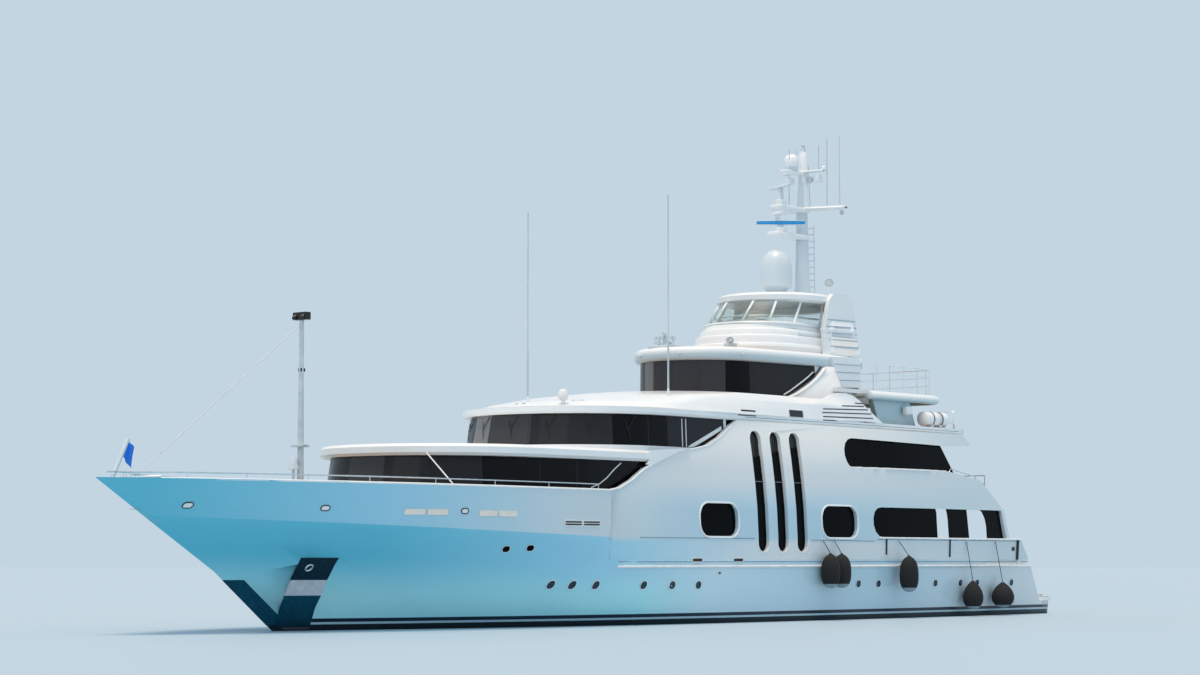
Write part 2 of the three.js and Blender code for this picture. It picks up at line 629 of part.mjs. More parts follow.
// Aft it rises to a hump that holds the engine room's air grilles, and runs down to the deck
const HUMP = [[-3600, 4280], [-3730, 4340], [-3930, 4390], [-4310, 4510], [-4550, 4565], [-4830, 4575],
  [-5070, 4530], [-5280, 4430], [-5600, 4220], [-5960, 4010]];
function buildHump() {
  const outline = [...HUMP, [BELT_AFT, BRIDGE_DECK + FIT], [-3600, BRIDGE_DECK + FIT]];
  const section = [[1880, BRIDGE_DECK + FIT], [2060, BRIDGE_DECK + FIT], [2040, 4120], [2010, 4280],
    [1950, 4600], [1880, 4600]];
  return sidePlate(outline, 1800, 2100).intersect(crossPlate(section, BELT_AFT, -3600));
}
const ABOVE_HUMP = sidePlate([...HUMP.slice(6), [BELT_AFT - 20, 3990], [BELT_AFT - 20, 4800], [-5070, 4800]],
  -3000, 3000);
addPiece(
  "bridge_bulwark",
  join(
    cut(
      stack(BELT.map(([z, centre, radius, half]) =>
        [z, nose({ centre, radius, side: [[BELT_AFT, half], [-4000, half]] })])),
      stack([[BRIDGE_DECK - 10, nose(BELT_WELL)], [5000, nose(BELT_WELL)]]),
      ABOVE_HUMP,
    ),
    buildHump(),
    mirrored(buildHump()),
  ),
  WHITE,
);

// Wheelhouse with its after bulkhead, and a hinged door in it
const BRIDGE_DOOR = { left: 420, right: -20, foot: 4040, head: 4980, thick: 40, gap: 6 };
const WHEELHOUSE_AFT = -5650;
// Side view of the fin that sweeps down from the roof over the after end of the glass
const SWOOP = [[-5200, 4001], [-3100, 4001], [-3250, 4330], [-3440, 4440], [-3720, 4540], [-3980, 4660],
  [-4200, 4770], [-4390, 4880], [-4570, 5010], [-4700, 5129], [-5200, 5129]];
function buildWheelhouseWall() {
  const bulkhead = cut(
    block(WHEELHOUSE_AFT, WHEELHOUSE_AFT + WALL, -1400, 1400, 4001, 5129),
    block(WHEELHOUSE_AFT - 10, WHEELHOUSE_AFT + WALL + 10, BRIDGE_DOOR.right - BRIDGE_DOOR.gap,
      BRIDGE_DOOR.left + 30, BRIDGE_DOOR.foot - BRIDGE_DOOR.gap, BRIDGE_DOOR.head + BRIDGE_DOOR.gap),
  );
  const sides = crossPlate([[1390, 4001], [1500, 4001], [1440, 5129], [1390, 5129]],
    WHEELHOUSE_AFT, WHEELHOUSE_AFT + WALL);
  const hinge = BRIDGE_DOOR.left;
  const lugs = [BRIDGE_DOOR.foot - 30, BRIDGE_DOOR.head + RUNNING].map((z) =>
    block(WHEELHOUSE_AFT - 22, WHEELHOUSE_AFT + 10, hinge - 18, hinge + 40, z, z + 30 - RUNNING));
  const glassSpace = houseForm(WHEELHOUSE, FIT).intersect(layer(4000, 5200, WHEELHOUSE.glassAft));
  const fin = cut(sidePlate(SWOOP, 1440, 1595), glassSpace).intersect(layer(4001, 5129, -6000));
  return join(buildHouseWall(WHEELHOUSE), bulkhead, sides, mirrored(sides), fin, mirrored(fin), ...lugs);
}
addPiece("wheelhouse_wall", buildWheelhouseWall(), WHITE);
addPiece("wheelhouse_glass", buildHouseGlass(WHEELHOUSE), DARK_GLASS);
addPiece(
  "bridge_door",
  join(
    block(WHEELHOUSE_AFT - 20, WHEELHOUSE_AFT + BRIDGE_DOOR.thick - 20, BRIDGE_DOOR.right, BRIDGE_DOOR.left,
      BRIDGE_DOOR.foot, BRIDGE_DOOR.head),
    bar([WHEELHOUSE_AFT, BRIDGE_DOOR.left, BRIDGE_DOOR.foot],
      [WHEELHOUSE_AFT, BRIDGE_DOOR.left, BRIDGE_DOOR.head], 18, 18, 12),
  ),
  WHITE,
);

const WHEELHOUSE_ROOF = { centre: -2550, radius: 1250, side: [[-6050, 1400], [-4450, 1440]] };
addPiece(
  "wheelhouse_roof",
  stack([
    [5130 + FIT, nose(WHEELHOUSE_ROOF, 40)],
    [5155, nose(WHEELHOUSE_ROOF, 80)],
    [5200, nose(WHEELHOUSE_ROOF, 98)],
    [5290, nose(WHEELHOUSE_ROOF, 98)],
    [5350, nose(WHEELHOUSE_ROOF, 80)],
    [5385, nose(WHEELHOUSE_ROOF, 45)],
    [SUN_DECK, nose(WHEELHOUSE_ROOF, 0)],
  ]),
  WHITE,
);

// Sun deck: stepped coaming, raked windshield, hardtop and the arch that carries it
const TIERS = [
  // z low, z high, centre, radius
  [SUN_DECK + FIT, 5580, -4200, 1300],
  [5580, 5760, -4250, 1210],
  [5760, 5900, -4300, 1140],
  [5900, 6000, -4350, 1080],
];
const HELM_AFT = -5180;
addPiece(
  "sundeck_coaming",
  cut(
    join(...TIERS.map(([z0, z1, centre, radius]) => {
      const tier = { centre, radius, side: [[HELM_AFT, radius]] };
      return stack([[z0, nose(tier)], [z1 - 70, nose(tier, -12)], [z1 - 20, nose(tier, -35)],
        [z1, nose(tier, -75)]]);
    })),
    stack([SUN_DECK - 10, 6100].map((z) =>
      [z, nose({ centre: -4400, radius: 960, side: [[HELM_AFT - 300, 960]] })])),
  ),
  WHITE,
);
const SCREEN = {
  low: 6000 + FIT, high: 6480 - FIT,
  base: { centre: -4350, radius: 1050, side: [[HELM_AFT, 1050]] },
  top: { centre: -4750, radius: 990, side: [[HELM_AFT, 990]] },
};
addPiece("windshield", houseBand(SCREEN, GLASS + 6, layer(SCREEN.low, SCREEN.high, HELM_AFT)), DARK_GLASS);
const HARDTOP = { centre: -4980, radius: 1200, side: [[-6420, 450], [-6080, 1100], [-5700, 1200]] };
addPiece(
  "hardtop",
  stack([
    [6480, nose(HARDTOP, -60)],
    [6520, nose(HARDTOP)],
    [6620, nose(HARDTOP)],
    [6680, nose(HARDTOP, -120)],
  ]),
  WHITE,
);
// One leg of the tower, as plan sections [z, x fore inboard, x fore outboard, x aft, y outboard].
// The shingled ridges stand out at their lower edges.
const TOWER = [
  [5400.3, -4860, -5010, -6130, 1440],
  [5440, -4860, -5010, -6120, 1440],
  [5450, -4900, -5050, -6080, 1400],
  [5600, -4890, -5070, -6070, 1425],
  [5610, -4930, -5110, -6030, 1385],
  [5770, -4920, -5110, -6010, 1405],
  [5780, -4960, -5150, -5975, 1365],
  [5930, -4955, -5150, -5980, 1385],
  [5940, -5010, -5200, -5990, 1345],
  [6200, -5180, -5300, -5985, 1280],
  [6479.7, -5390, -5410, -5940, 1175],
];
const TOWER_WALL = 95;
const ARCH_LEG = loft(TOWER.map(([z, inboard, outboard, aft, y]) =>
  [[inboard, y - TOWER_WALL, z], [aft, y - TOWER_WALL, z], [aft, y, z], [outboard, y, z]]));
addPiece(
  "radar_arch",
  join(ARCH_LEG, mirrored(ARCH_LEG), block(-5900, -5600, -1150, 1150, 6340, 6480 - FIT)),
  WHITE,
);

// After sun terrace on its two slanting fins
const TERRACE_WELL = { x: [-6350, -5600], y: [-120, 640] };
const TERRACE = { bottom: 4580, top: 4700, fore: -5700, aft: -8680, half: 1720, round: 350 };
const terraceEdge = (grow) => {
  const corner = [];
  for (let i = 0; i <= 6; i++) {
    const turn = (Math.PI / 2) * (i / 6);
    const { aft, half, round } = TERRACE;
    corner.push([aft + round * (1 - Math.cos(turn)) - grow, half - round * (1 - Math.sin(turn)) + grow]);
  }
  corner.push([TERRACE.fore, TERRACE.half + grow]);
  return [...corner.map(([x, y]) => [x, -y]), ...corner.reverse()];
};
const WING = stack([TERRACE.bottom + 40, TERRACE.top].map((z) =>
  [z, [[-5750, 1600], [-4900, 1600], [-4800, 1640], [-4900, 1700], [-5750, 1720]]]));
const TOWER_FOOT = crossPlate([[1290, 4690], [1520, 4690], [1440, 5130 - FIT], [1290, 5130 - FIT]],
  -5960, -5720);
const FIN = sidePlate(
  [[-6500, BRIDGE_DECK + FIT], [-7850, BRIDGE_DECK + FIT], [-7600, 4590], [-6250, 4590]], 1480, 1600);
addPiece(
  "sun_terrace",
  join(
    cut(
      stack([
        [TERRACE.bottom, terraceEdge(-60)],
        [TERRACE.bottom + 50, terraceEdge(0)],
        [TERRACE.top, terraceEdge(0)],
      ]),
      block(...TERRACE_WELL.x, ...TERRACE_WELL.y, TERRACE.bottom - 10, TERRACE.top + 10),
    ),
    ...[FIN, WING, TOWER_FOOT].flatMap((solid) => [solid, mirrored(solid)]),
  ),
  WHITE,
);

// Guard rails of tube: a path, its height over the deck, and posts under it
const RAIL_R = 14;
function guardRail(points, deck, heights, postEvery) {
  const rails = heights.map((h, i) => pipe(points.map(([x, y]) => [x, y, deck + h]), i ? 8 : RAIL_R));
  const posts = points.filter((p, i) => i % postEvery === 0).map(([x, y]) =>
    bar([x, y, deck + FIT], [x, y, deck + heights[0]], 10, 10, 5));
  return join(...rails, ...posts);
}
const terraceRail = [[-6330, 1650], [-7350, 1650], [-8380, 1600], [-8580, 1380], [-8580, 0]];
addPiece(
  "terrace_rail",
  guardRail([...terraceRail, ...terraceRail.slice(0, -1).reverse().map(([x, y]) => [x, -y])], TERRACE.top,
    [560, 395, 215], 1),
  STEEL,
);
const CAP_STATIONS = [3300, 4600, 5900, 7200, 8500, 9600, 10600, 11500, 12200];
const capRail = CAP_STATIONS.map((x) => [x, hullHalf(x, 2490) - 45, 0]);
function buildBowRail() {
  const port = capRail.map(([x, y]) => [x, y, hullPoint(HULL_LEVELS[6], x).z + 95]);
  const starboard = port.map(([x, y, z]) => [x, -y, z]);
  const bowZ = port.at(-1)[2];
  const path = [...port, [12500, 70, bowZ], [12500, -70, bowZ], ...starboard.toReversed()];
  const posts = [...port, ...starboard].map(([x, y, z]) => bar([x, y, z - 110], [x, y, z], 9, 9, 4));
  return cut(join(pipe(path, 13), ...posts), HULL_AND_GAP);
}
addPiece("bow_rail", buildBowRail(), STEEL);

// Saloon and upper saloon bulkheads, each with two sliding doors hung from a rail
const DOOR = { width: 560, thick: 36, gap: 6 };
function buildBulkhead(x, deck, roof, half) {
  const head = roof - 260;
  const opening = block(x - 100, x + 200, -DOOR.width + 20, DOOR.width - 20, deck - 10, head);
  const wall = betweenShells(cut(block(x, x + WALL, -half, half, deck + FIT, roof - FIT), opening));
  const reach = 2 * DOOR.width + 20;
  const rail = block(x - DOOR.thick - 14, x + 5, -reach, reach, head + 40, head + 80);
  return join(wall, rail);
}
function buildDoor(x, deck, roof) {
  const head = roof - 260;
  return block(x - DOOR.gap - DOOR.thick, x - DOOR.gap, 3, DOOR.width, deck + 8, head + 40 - RUNNING);
}
const SALOON_X = -5200;
const SKY_X = -4330;
addPiece("saloon_bulkhead",
  buildBulkhead(SALOON_X, MAIN_DECK, UPPER_DECK - DECK_PLATE, HALF_BEAM - 40), WHITE);
addPair("saloon_door", buildDoor(SALOON_X, MAIN_DECK, UPPER_DECK - DECK_PLATE), DARK_GLASS);
addPiece("upper_bulkhead",
  buildBulkhead(SKY_X, UPPER_DECK, UPPER_HOUSE_ROOF, HALF_BEAM - 40), WHITE);
addPair("upper_door", buildDoor(SKY_X, UPPER_DECK, UPPER_HOUSE_ROOF), DARK_GLASS);

// Stern: bathing platform and the tender garage's top-hung hatch
addPiece(
  "swim_platform",
  stack([290 + FIT, PLATFORM_TOP].map((z) => {
    const edge = [[-HALF_LENGTH, 1500], [-12740, 1800], [-12600, 1980], [TRANSOM_FOOT_X - 70, 2000]];
    return [z, [...edge.map(([x, y]) => [x, -y]), ...edge.reverse()]];
  })),
  TEAK,
);
const HATCH = { half: 1142, foot: 426, head: 1055, thick: 45, barrel: 18, pin: 10 };
function buildHatch() {
  const { half, foot, head, thick, barrel, pin } = HATCH;
  const leaf = sidePlate([[transomX(foot), foot], [transomX(foot) + thick * 1.3, foot],
    [transomX(head) + thick * 1.3, head], [transomX(head), head]], -half, half);
  const hinge = (reach, r) => bar([transomX(head), -reach, head], [transomX(head), reach, head], r, r, 12);
  return join(leaf, hinge(half, barrel), hinge(GARAGE.half - RUNNING, pin));
}
addPiece("transom_hatch", buildHatch(), HULL_WHITE);

// Below water: shafts with their struts, propellers, rudders and stabiliser fins
const SHAFT_R = 38;
const SHAFT_AFT = PROPELLER.x + 130;
function buildShaft() {
  const { y, z } = PROPELLER;
  const shaft = bar([SHAFT_AFT, y, z], [-5600, y, z + 60], SHAFT_R, SHAFT_R, 12);
  const struts = [-160, 160].map((splay) => loft([[z, y], [-450, y + splay]].map(([height, across]) =>
    [[-9260, across - 14, height], [-9420, across - 14, height], [-9420, across + 14, height],
      [-9260, across + 14, height]])));
  const bossing = bar([-9450, y, z], [-9230, y, z + 2], 58, 58, 12);
  return cut(join(shaft, ...struts, bossing), HULL_AND_GAP);
}
addPair("shaft", buildShaft(), STEEL);
// Blade sections at shares of the radius: half chord, and pitch in radians
const BLADE = [
  { share: 0.1, chord: 60, pitch: 0.9 },
  { share: 0.55, chord: 120, pitch: 0.62 },
  { share: 0.88, chord: 95, pitch: 0.45 },
  { share: 1, chord: 30, pitch: 0.4 },
];
function buildPropeller() {
  const { x, y, z, radius, hub } = PROPELLER;
  const turnedHub = bar([x - 110, y, z], [SHAFT_AFT - RUNNING, y, z], hub * 0.75, hub, 16);
  const cap = bar([x - 190, y, z], [x - 105, y, z], 12, hub * 0.75, 16);
  const blades = [];
  for (let i = 0; i < 5; i++) {
    const blade = loft(BLADE.map(({ share, chord, pitch }) => {
      const [c, s] = [Math.cos(pitch), Math.sin(pitch)];
      const section = [[-chord, -7], [0, -11], [chord, -7], [chord, 7], [0, 11], [-chord, 7]];
      return section.map(([along, off]) => [along * s + off * c, along * c - off * s, radius * share]);
    }));
    blades.push(blade.rotate([(360 * i) / 5, 0, 0]).translate([x, y, z]));
  }
  return join(turnedHub, cap, ...blades);
}
addPair("propeller", buildPropeller(), BRONZE);
function rudderSection(chord, thick) {
  const { x, y } = RUDDER;
  const shares = [[0.3, 0], [0.15, thick], [-0.2, thick], [-0.7, 4]];
  const side = shares.map(([share, off]) => [x + chord * share, off]);
  const back = side.slice(1).reverse().map(([along, off]) => [along, y - off]);
  return [...side.map(([along, off]) => [along, y + off]), ...back];
}
function buildRudder() {
  const { x, y, top, foot, chord, stock } = RUDDER;
  const blade = stack([[foot, rudderSection(chord * 0.8, 34)], [top - 70, rudderSection(chord, 45)]]);
  return join(blade, bar([x, y, foot + 100], [x, y, top - RUNNING], stock, stock, 12));
}
addPair("rudder", buildRudder(), HULL_WHITE);
const FIN_X = -300;
function buildFin() {
  const root = [hullHalf(FIN_X, -620) - 150, -640];
  const tip = [root[0] + 560, -1180];
  const section = ([[y, z], chord, thick]) => {
    const upper = [[-0.5, 0], [-0.25, thick], [0.33, thick * 0.7], [0.5, 0]];
    const ring = [...upper, ...upper.slice(1, 3).reverse().map(([share, off]) => [share, -off])];
    return ring.map(([share, off]) => [FIN_X + share * chord, y + off * 0.7, z + off * 0.7]);
  };
  return cut(loft([[root, 620, 50], [tip, 380, 26]].map(section)), HULL_AND_GAP);
}
addPair("stabiliser_fin", buildFin(), HULL_WHITE);

// Mast with its yards and radar platforms, satellite dome and scanners
const MAST_X = -6000;
const MAST_FOOT = 6680 + FIT;
function mastSection(x, length, width) {
  return [[x + length / 2, 0], [x + length / 4, width / 2], [x - length / 4, width / 2], [x - length / 2, 0],
    [x - length / 4, -width / 2], [x + length / 4, -width / 2]];
}
function yard(z, half, sweep, chord, x = MAST_X) {
  const port = loft([[0, 0, chord], [half, sweep, chord * 0.6]].map(([y, back, c]) =>
    [[x - back + c / 2, y, z], [x - back, y, z + 28], [x - back - c / 2, y, z], [x - back, y, z - 28]]));
  return join(port, mirrored(port));
}
const SCANNER_X = -5250;
const PLATFORMS = [
  // top, fore end, pedestal's height and radius
  [8060, -4990, 120, 90],
  [8640, -5090, 320, 70],
];
function buildMast() {
  const column = stack([
    [MAST_FOOT, mastSection(MAST_X - 20, 620, 330)],
    [6950, mastSection(MAST_X, 440, 240)],
    [8600, mastSection(MAST_X, 300, 180)],
    [9650, mastSection(MAST_X - 60, 180, 120)],
    [9850, mastSection(MAST_X - 60, 130, 100)],
  ]);
  const shelves = PLATFORMS.map(([top, fore]) => block(MAST_X, fore, -130, 130, top - 40, top));
  const pedestals = PLATFORMS.map(([top, , height, r]) =>
    bar([SCANNER_X, 0, top - 10], [SCANNER_X, 0, top + height], r, r * 0.8, 12));
  const topShelf = block(MAST_X, -5380, -90, 90, 9380, 9410);
  const topDome = turned([[0, 0], [120, 0], [150, 90], [130, 230], [70, 300], [0, 320]], -5640, 0, 9405, 12);
  const yards = [yard(8620, 950, 280, 300), yard(9420, 540, 60, 160)];
  return join(column, ...shelves, ...pedestals, topShelf, topDome, ...yards);
}
addPiece("mast", buildMast(), WHITE);

// An open-array scanner: a bar that turns on its pedestal, at rest at the given angle
function buildScanner([top, , height], half, high, angle) {
  const z = top + height + RUNNING;
  const boss = bar([0, 0, z], [0, 0, z + 45], 60, 60, 12);
  const array = block(-55, 55, -half, half, z + 40, z + 40 + high);
  return join(boss, array).rotate([0, 0, angle]).translate([SCANNER_X, 0, 0]);
}
addPiece("radar_scanner_lower", buildScanner(PLATFORMS[0], 520, 90, 41), WHITE);
addPiece("radar_scanner_upper", buildScanner(PLATFORMS[1], 400, 70, -25), WHITE);
const DOME = [
  [0, 0], [210, 0], [195, 130], [260, 190], [328, 340], [345, 560], [310, 780], [205, 940], [0, 1010]];
addPiece("satellite_dome", turned(DOME, -5080, 0, MAST_FOOT), WHITE);

// Bow: foremast with its stay, jackstaff and flag, windlass, anchors
const FOREMAST_X = 8400;
const STAY_FOOT_X = 11950;
function buildForemast() {
  const foot = bar([FOREMAST_X, 0, FOREDECK + FIT], [FOREMAST_X, 0, FOREDECK + 60], 150, 120, 12);
  const column = bar([FOREMAST_X, 0, FOREDECK + 50], [FOREMAST_X, 0, 5300], 62, 40, 10);
  const head = block(FOREMAST_X - 60, FOREMAST_X + 60, -160, 160, 5290, 5420);
  const table = block(FOREMAST_X - 110, FOREMAST_X + 130, -110, 110, 3110, 3140);
  const stay = bar([FOREMAST_X, 0, 5240], [STAY_FOOT_X, 0, capZ(STAY_FOOT_X) + 60], 9, 9, 6);
  const lugFoot = capZ(STAY_FOOT_X + 60) + FIT;
  const plate = block(STAY_FOOT_X - 60, STAY_FOOT_X + 60, -14, 14, lugFoot, lugFoot + 80);
  return join(foot, column, head, table, stay, plate);
}
addPiece("foremast", buildForemast(), WHITE);
const JACK_FOOT = [12440, 0, capZ(12480) + FIT];
const JACK_HEAD = [12130, 0, 3140];
const jackSocket = bar(JACK_FOOT, [12440, 0, JACK_FOOT[2] + 40], 40, 30, 10);
addPiece("jackstaff", join(bar([12440, 0, JACK_FOOT[2] + 10], JACK_HEAD, 14, 10, 8), jackSocket), STEEL);
// The flag's edge lies along the staff, aft of it
const staffEdge = (share) => {
  const r = 14 - 4 * share + FIT;
  const x = 12440 + (JACK_HEAD[0] - 12440) * share - r * 0.9;
  const z = JACK_FOOT[2] + 10 + (JACK_HEAD[2] - JACK_FOOT[2] - 10) * share - r * 0.44;
  return [x, z];
};
const FLAG_OUTLINE = [staffEdge(0.9), staffEdge(0.55), [12220, 2700], [12060, 2690], [12070, 3010]];
addPiece("flag", sidePlate(FLAG_OUTLINE, -6, 6), BLUE);

addPiece("windlass", join(
  block(10300, 10900, -420, 420, FOREDECK + FIT, FOREDECK + 60),
  bar([10600, -380, 2200], [10600, 380, 2200], 70, 70, 14),
  bar([10600, -330, 2200], [10600, -230, 2200], 130, 130, 16),
  bar([10600, 230, 2200], [10600, 330, 2200], 130, 130, 16),
  block(10480, 10720, -120, 120, FOREDECK + 50, 2290),
), STEEL);

// Life rafts in canisters on cradles at the after corners of the bridge deck
addPair("life_raft", join(
  bar([-7640, 1765, 4170], [-8680, 1750, 4170], 148, 148, 14),
  block(-7960, -7880, 1650, 1880, BRIDGE_DECK + FIT, 4080),
  block(-8440, -8360, 1640, 1870, BRIDGE_DECK + FIT, 4080),
), WHITE);

// Fenders along the port side, each on a lanyard from an eye on the side plating
const FENDERS = [
  // name, x of each body, z of the middle, radius, half-length
  ["fender_pair", [-3435, -3765], 990, 155, 330],
  ["fender_middle", [-6080], 930, 195, 350],
  ["fender_aft", [-8680], 450, 205, 290],
  ["fender_ball", [-9900], 440, 235, 235],
];
const EYE_Z = 1570;
const SIDE_SKIN = sideBand(-FIT, SHELL);
function buildFender(x, z, r, half) {
  const cap = Math.min(r, half);
  const end = [0, 1, 2, 3, 4].map((i) => {
    const turn = (Math.PI / 8) * i;
    return [r * Math.sin(turn), half - cap * (1 - Math.cos(turn))];
  });
  const profile = [...end.map(([radius, up]) => [radius, -up]), ...end.slice(0, half > r ? 5 : 4).reverse()];
  const onRail = z + half > RUB_RAIL.low ? RUB_RAIL.stand : 0;
  const y = hullHalf(x, Math.min(z + half, RUB_RAIL.high)) + onRail + r + 3;
  const eyeY = sideHalf(x, EYE_Z);
  const rope = bar([x, y, z + half - 20], [x, eyeY + 12, EYE_Z], 8, 8, 5);
  const eye = block(x - 14, x + 14, eyeY - 30, eyeY + 20, EYE_Z - 12, EYE_Z + 12);
  return cut(join(turned(profile, x, y, z, 12), rope, eye), SIDE_SKIN);
}
for (const [name, places, z, r, half] of FENDERS) {
  const bodies = places.map((x) => buildFender(x, z, r, half));
  if (places.length > 1) {
    const y = hullHalf(places[0], 1070) + RUB_RAIL.stand + r + 3;
    bodies.push(bar([places[0], y, z], [places[1], y, z], 40, 40, 8));
  }
  addPiece(name, join(...bodies), BLACK);
}

export default yacht;
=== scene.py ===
import math

import bmesh
import bpy
from mathutils import Matrix, Vector
from mathutils.bvhtree import BVHTree


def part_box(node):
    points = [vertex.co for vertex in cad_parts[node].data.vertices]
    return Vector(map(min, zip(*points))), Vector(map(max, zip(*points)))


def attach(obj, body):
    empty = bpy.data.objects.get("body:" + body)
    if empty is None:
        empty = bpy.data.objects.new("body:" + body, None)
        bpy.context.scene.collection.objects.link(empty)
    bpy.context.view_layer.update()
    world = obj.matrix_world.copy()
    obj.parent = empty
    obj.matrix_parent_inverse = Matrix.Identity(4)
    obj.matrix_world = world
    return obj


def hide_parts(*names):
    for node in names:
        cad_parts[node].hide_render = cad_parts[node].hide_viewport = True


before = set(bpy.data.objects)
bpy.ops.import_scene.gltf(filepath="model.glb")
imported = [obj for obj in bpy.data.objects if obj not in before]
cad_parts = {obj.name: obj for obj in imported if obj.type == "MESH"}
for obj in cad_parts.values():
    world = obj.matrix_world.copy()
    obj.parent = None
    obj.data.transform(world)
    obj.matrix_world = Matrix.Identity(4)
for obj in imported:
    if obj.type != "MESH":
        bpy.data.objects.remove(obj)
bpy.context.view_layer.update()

# Camera, water's floor and studio light
# The yacht lies afloat: the floor is the water's surface, and cuts the hull at the waterline.
# It is seen from ahead of the port beam, from low down, with a long lens.
HEADING, TILT = 0.8587923, 0.0825679
look = Vector((-math.sin(HEADING) * math.cos(TILT), -math.cos(HEADING) * math.cos(TILT), math.sin(TILT)))
lens = bpy.data.cameras.new("camera")
lens.lens, lens.sensor_width, lens.clip_end = 80.5434, 36, 1500


def put(name, data):
    """Puts an object with this data in the scene."""
    thing = bpy.data.objects.new(name, data)
    bpy.context.collection.objects.link(thing)
    return thing


camera = put("camera", lens)
camera.location = (39.75378, 33.81068, 1.19512)
camera.rotation_euler = look.to_track_quat("-Z", "Y").to_euler()
bpy.context.scene.camera = camera

PLAIN = (1, 1, 1, 1)  # a linear white, which changes nothing
NOISE_LOW, NOISE_HIGH = 0.3, 0.7  # the range in which a noise varies


def tone(red, green, blue):
    """A colour read as 0 to 255, as Blender's linear colour."""
    return tuple(((v / 255 + 0.055) / 1.055) ** 2.4 if v > 10 else v / 255 / 12.92
                 for v in (red, green, blue)) + (1,)


def wire(material, kind, settings=None, **inputs):
    """Adds a shader node; each input is a value or another node's output socket."""
    added = material.node_tree.nodes.new("ShaderNode" + kind)
    for key, value in (settings or {}).items():
        setattr(added, key, value)
    for key, value in inputs.items():
        socket = added.inputs[int(key[1:]) if key[0] == "_" else key.replace("_", " ")]
        if isinstance(value, bpy.types.NodeSocket):
            material.node_tree.links.new(value, socket)
        else:
            socket.default_value = value
    return added


def ramp(material, factor, stops, constant=False):
    """A colour ramp's colour, from stops of (position, colour of 0 to 255 or linear with alpha)."""
    made = wire(material, "ValToRGB", Fac=factor)
    band = made.color_ramp
    band.interpolation = "CONSTANT" if constant else "LINEAR"
    while len(band.elements) < len(stops):
        band.elements.new(0.5)
    for element, (position, colour) in zip(band.elements, stops):
        element.position, element.color = position, colour if len(colour) == 4 else tone(*colour)
    return made.outputs["Color"]


def span(material, value, low, high, to_low=0, to_high=1, kind="LINEAR"):
    """A value moved from one range to another, and held at its ends."""
    return wire(material, "MapRange", {"interpolation_type": kind}, Value=value, From_Min=low, From_Max=high,
                To_Min=to_low, To_Max=to_high).outputs["Result"]


def finish(name, dark, light, scale, rough, bump=0, stretch=(1, 1, 1), metallic=0, coat=0, coat_rough=0.1,
           specular=0.5, stops=(NOISE_LOW, NOISE_HIGH)):
    """A finish whose colour, gloss and relief vary with a noise on the piece's own coordinates."""
    material = bpy.data.materials.new(name)
    material.use_nodes = True
    where = wire(material, "TexCoord").outputs["Object"]
    turned = wire(material, "Mapping", Vector=where, Scale=stretch).outputs[0]
    noise = wire(material, "TexNoise", Vector=turned, Scale=scale, Detail=6, Roughness=0.6).outputs["Fac"]
    made = {"Base Color": ramp(material, noise, list(zip(stops, (dark, light)))),
            "Roughness": span(material, noise, NOISE_LOW, NOISE_HIGH, *rough)}
    if bump:
        made["Normal"] = wire(material, "Bump", Strength=bump, Distance=0.004, Height=noise).outputs["Normal"]
    shader = material.node_tree.nodes["Principled BSDF"].inputs
    for key, value in made.items():
        material.node_tree.links.new(value, shader[key])
    for key, value in (("Metallic", metallic), ("Coat Weight", coat), ("Coat Roughness", coat_rough),
                       ("Specular IOR Level", specular)):
        shader[key].default_value = value
    return material


def solid(name, form, material):
    """Makes an object of a bmesh."""
    mesh = bpy.data.meshes.new(name)
    form.to_mesh(mesh)
    form.free()
    mesh.materials.append(material)
    return put(name, mesh)


form = bmesh.new()
bmesh.ops.create_circle(form, cap_ends=True, segments=96, radius=400)
floor = solid("floor", form, finish("pale_floor", (168, 190, 206), (174, 195, 210), 0.02, (0.55, 0.65),
                                    stops=(0, 1)))

bpy.context.scene.view_settings.view_transform = "Standard"
world = bpy.data.worlds.new("studio")
world.use_nodes = True
bpy.context.scene.world = world
sky = world.node_tree.nodes["Background"].inputs
sky["Color"].default_value, sky["Strength"].default_value = tone(196, 213, 226), 1
for name, toward, strength, spread, colour in [("high_lamp", (0.16, 0.03, 0.98), 2.45, 24, (1, 0.76, 0.55)),
                                               ("bow_lamp", (0.9, 0.3, 0.35), 0.18, 30, (1, 0.85, 0.7))]:
    data = bpy.data.lights.new(name, "SUN")
    data.energy, data.angle, data.color = strength, math.radians(spread), colour
    put(name, data).rotation_euler = Vector(toward).to_track_quat("Z", "Y").to_euler()

# Hull: welded plating, faired and painted
# Welded aluminium plating from stem to transom, faired and sprayed in a pale blue gloss paint, with a
# navy boot stripe over dark bottom paint. A white rub rail is welded along each side. The paint's
# deeper blues toward the bow are a painted reflection of the sea.
SAME = 0.0004  # points nearer than this are one
ENDS = 12.6  # x of the paint's foremost shade; its aftmost is at -12.6
RISE_FROM, RISE_TO, RISE = 3, 12.8, 0.337  # the shades rise with the sheer between these x
RAIL_Z, RAIL_HALF, RAIL_END = 1.07, 0.028, 2.77  # the rub rail's height, half-width and fore end
WELD_X, STEM_X, STEM_HALF = -9.65, 6, 0.0165  # the blocks' weld; the stem's edge, and half its breadth


def show(name, form, material, slot, body="yacht", sharp=32, turn=True, instead=()):
    """Makes a piece of a bmesh that rides on a body, and stands for CAD nodes."""
    if turn:
        bmesh.ops.recalc_face_normals(form, faces=form.faces)
    piece = solid(name, form, material)
    piece.data.shade_smooth()
    piece.data.set_sharp_from_angle(angle=math.radians(sharp))
    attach(piece, body)
    if instead:
        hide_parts(*instead)
    return piece


def cad(*nodes):
    """A bmesh of CAD nodes."""
    form = bmesh.new()
    for node in nodes:
        form.from_mesh(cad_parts[node].data)
    return form


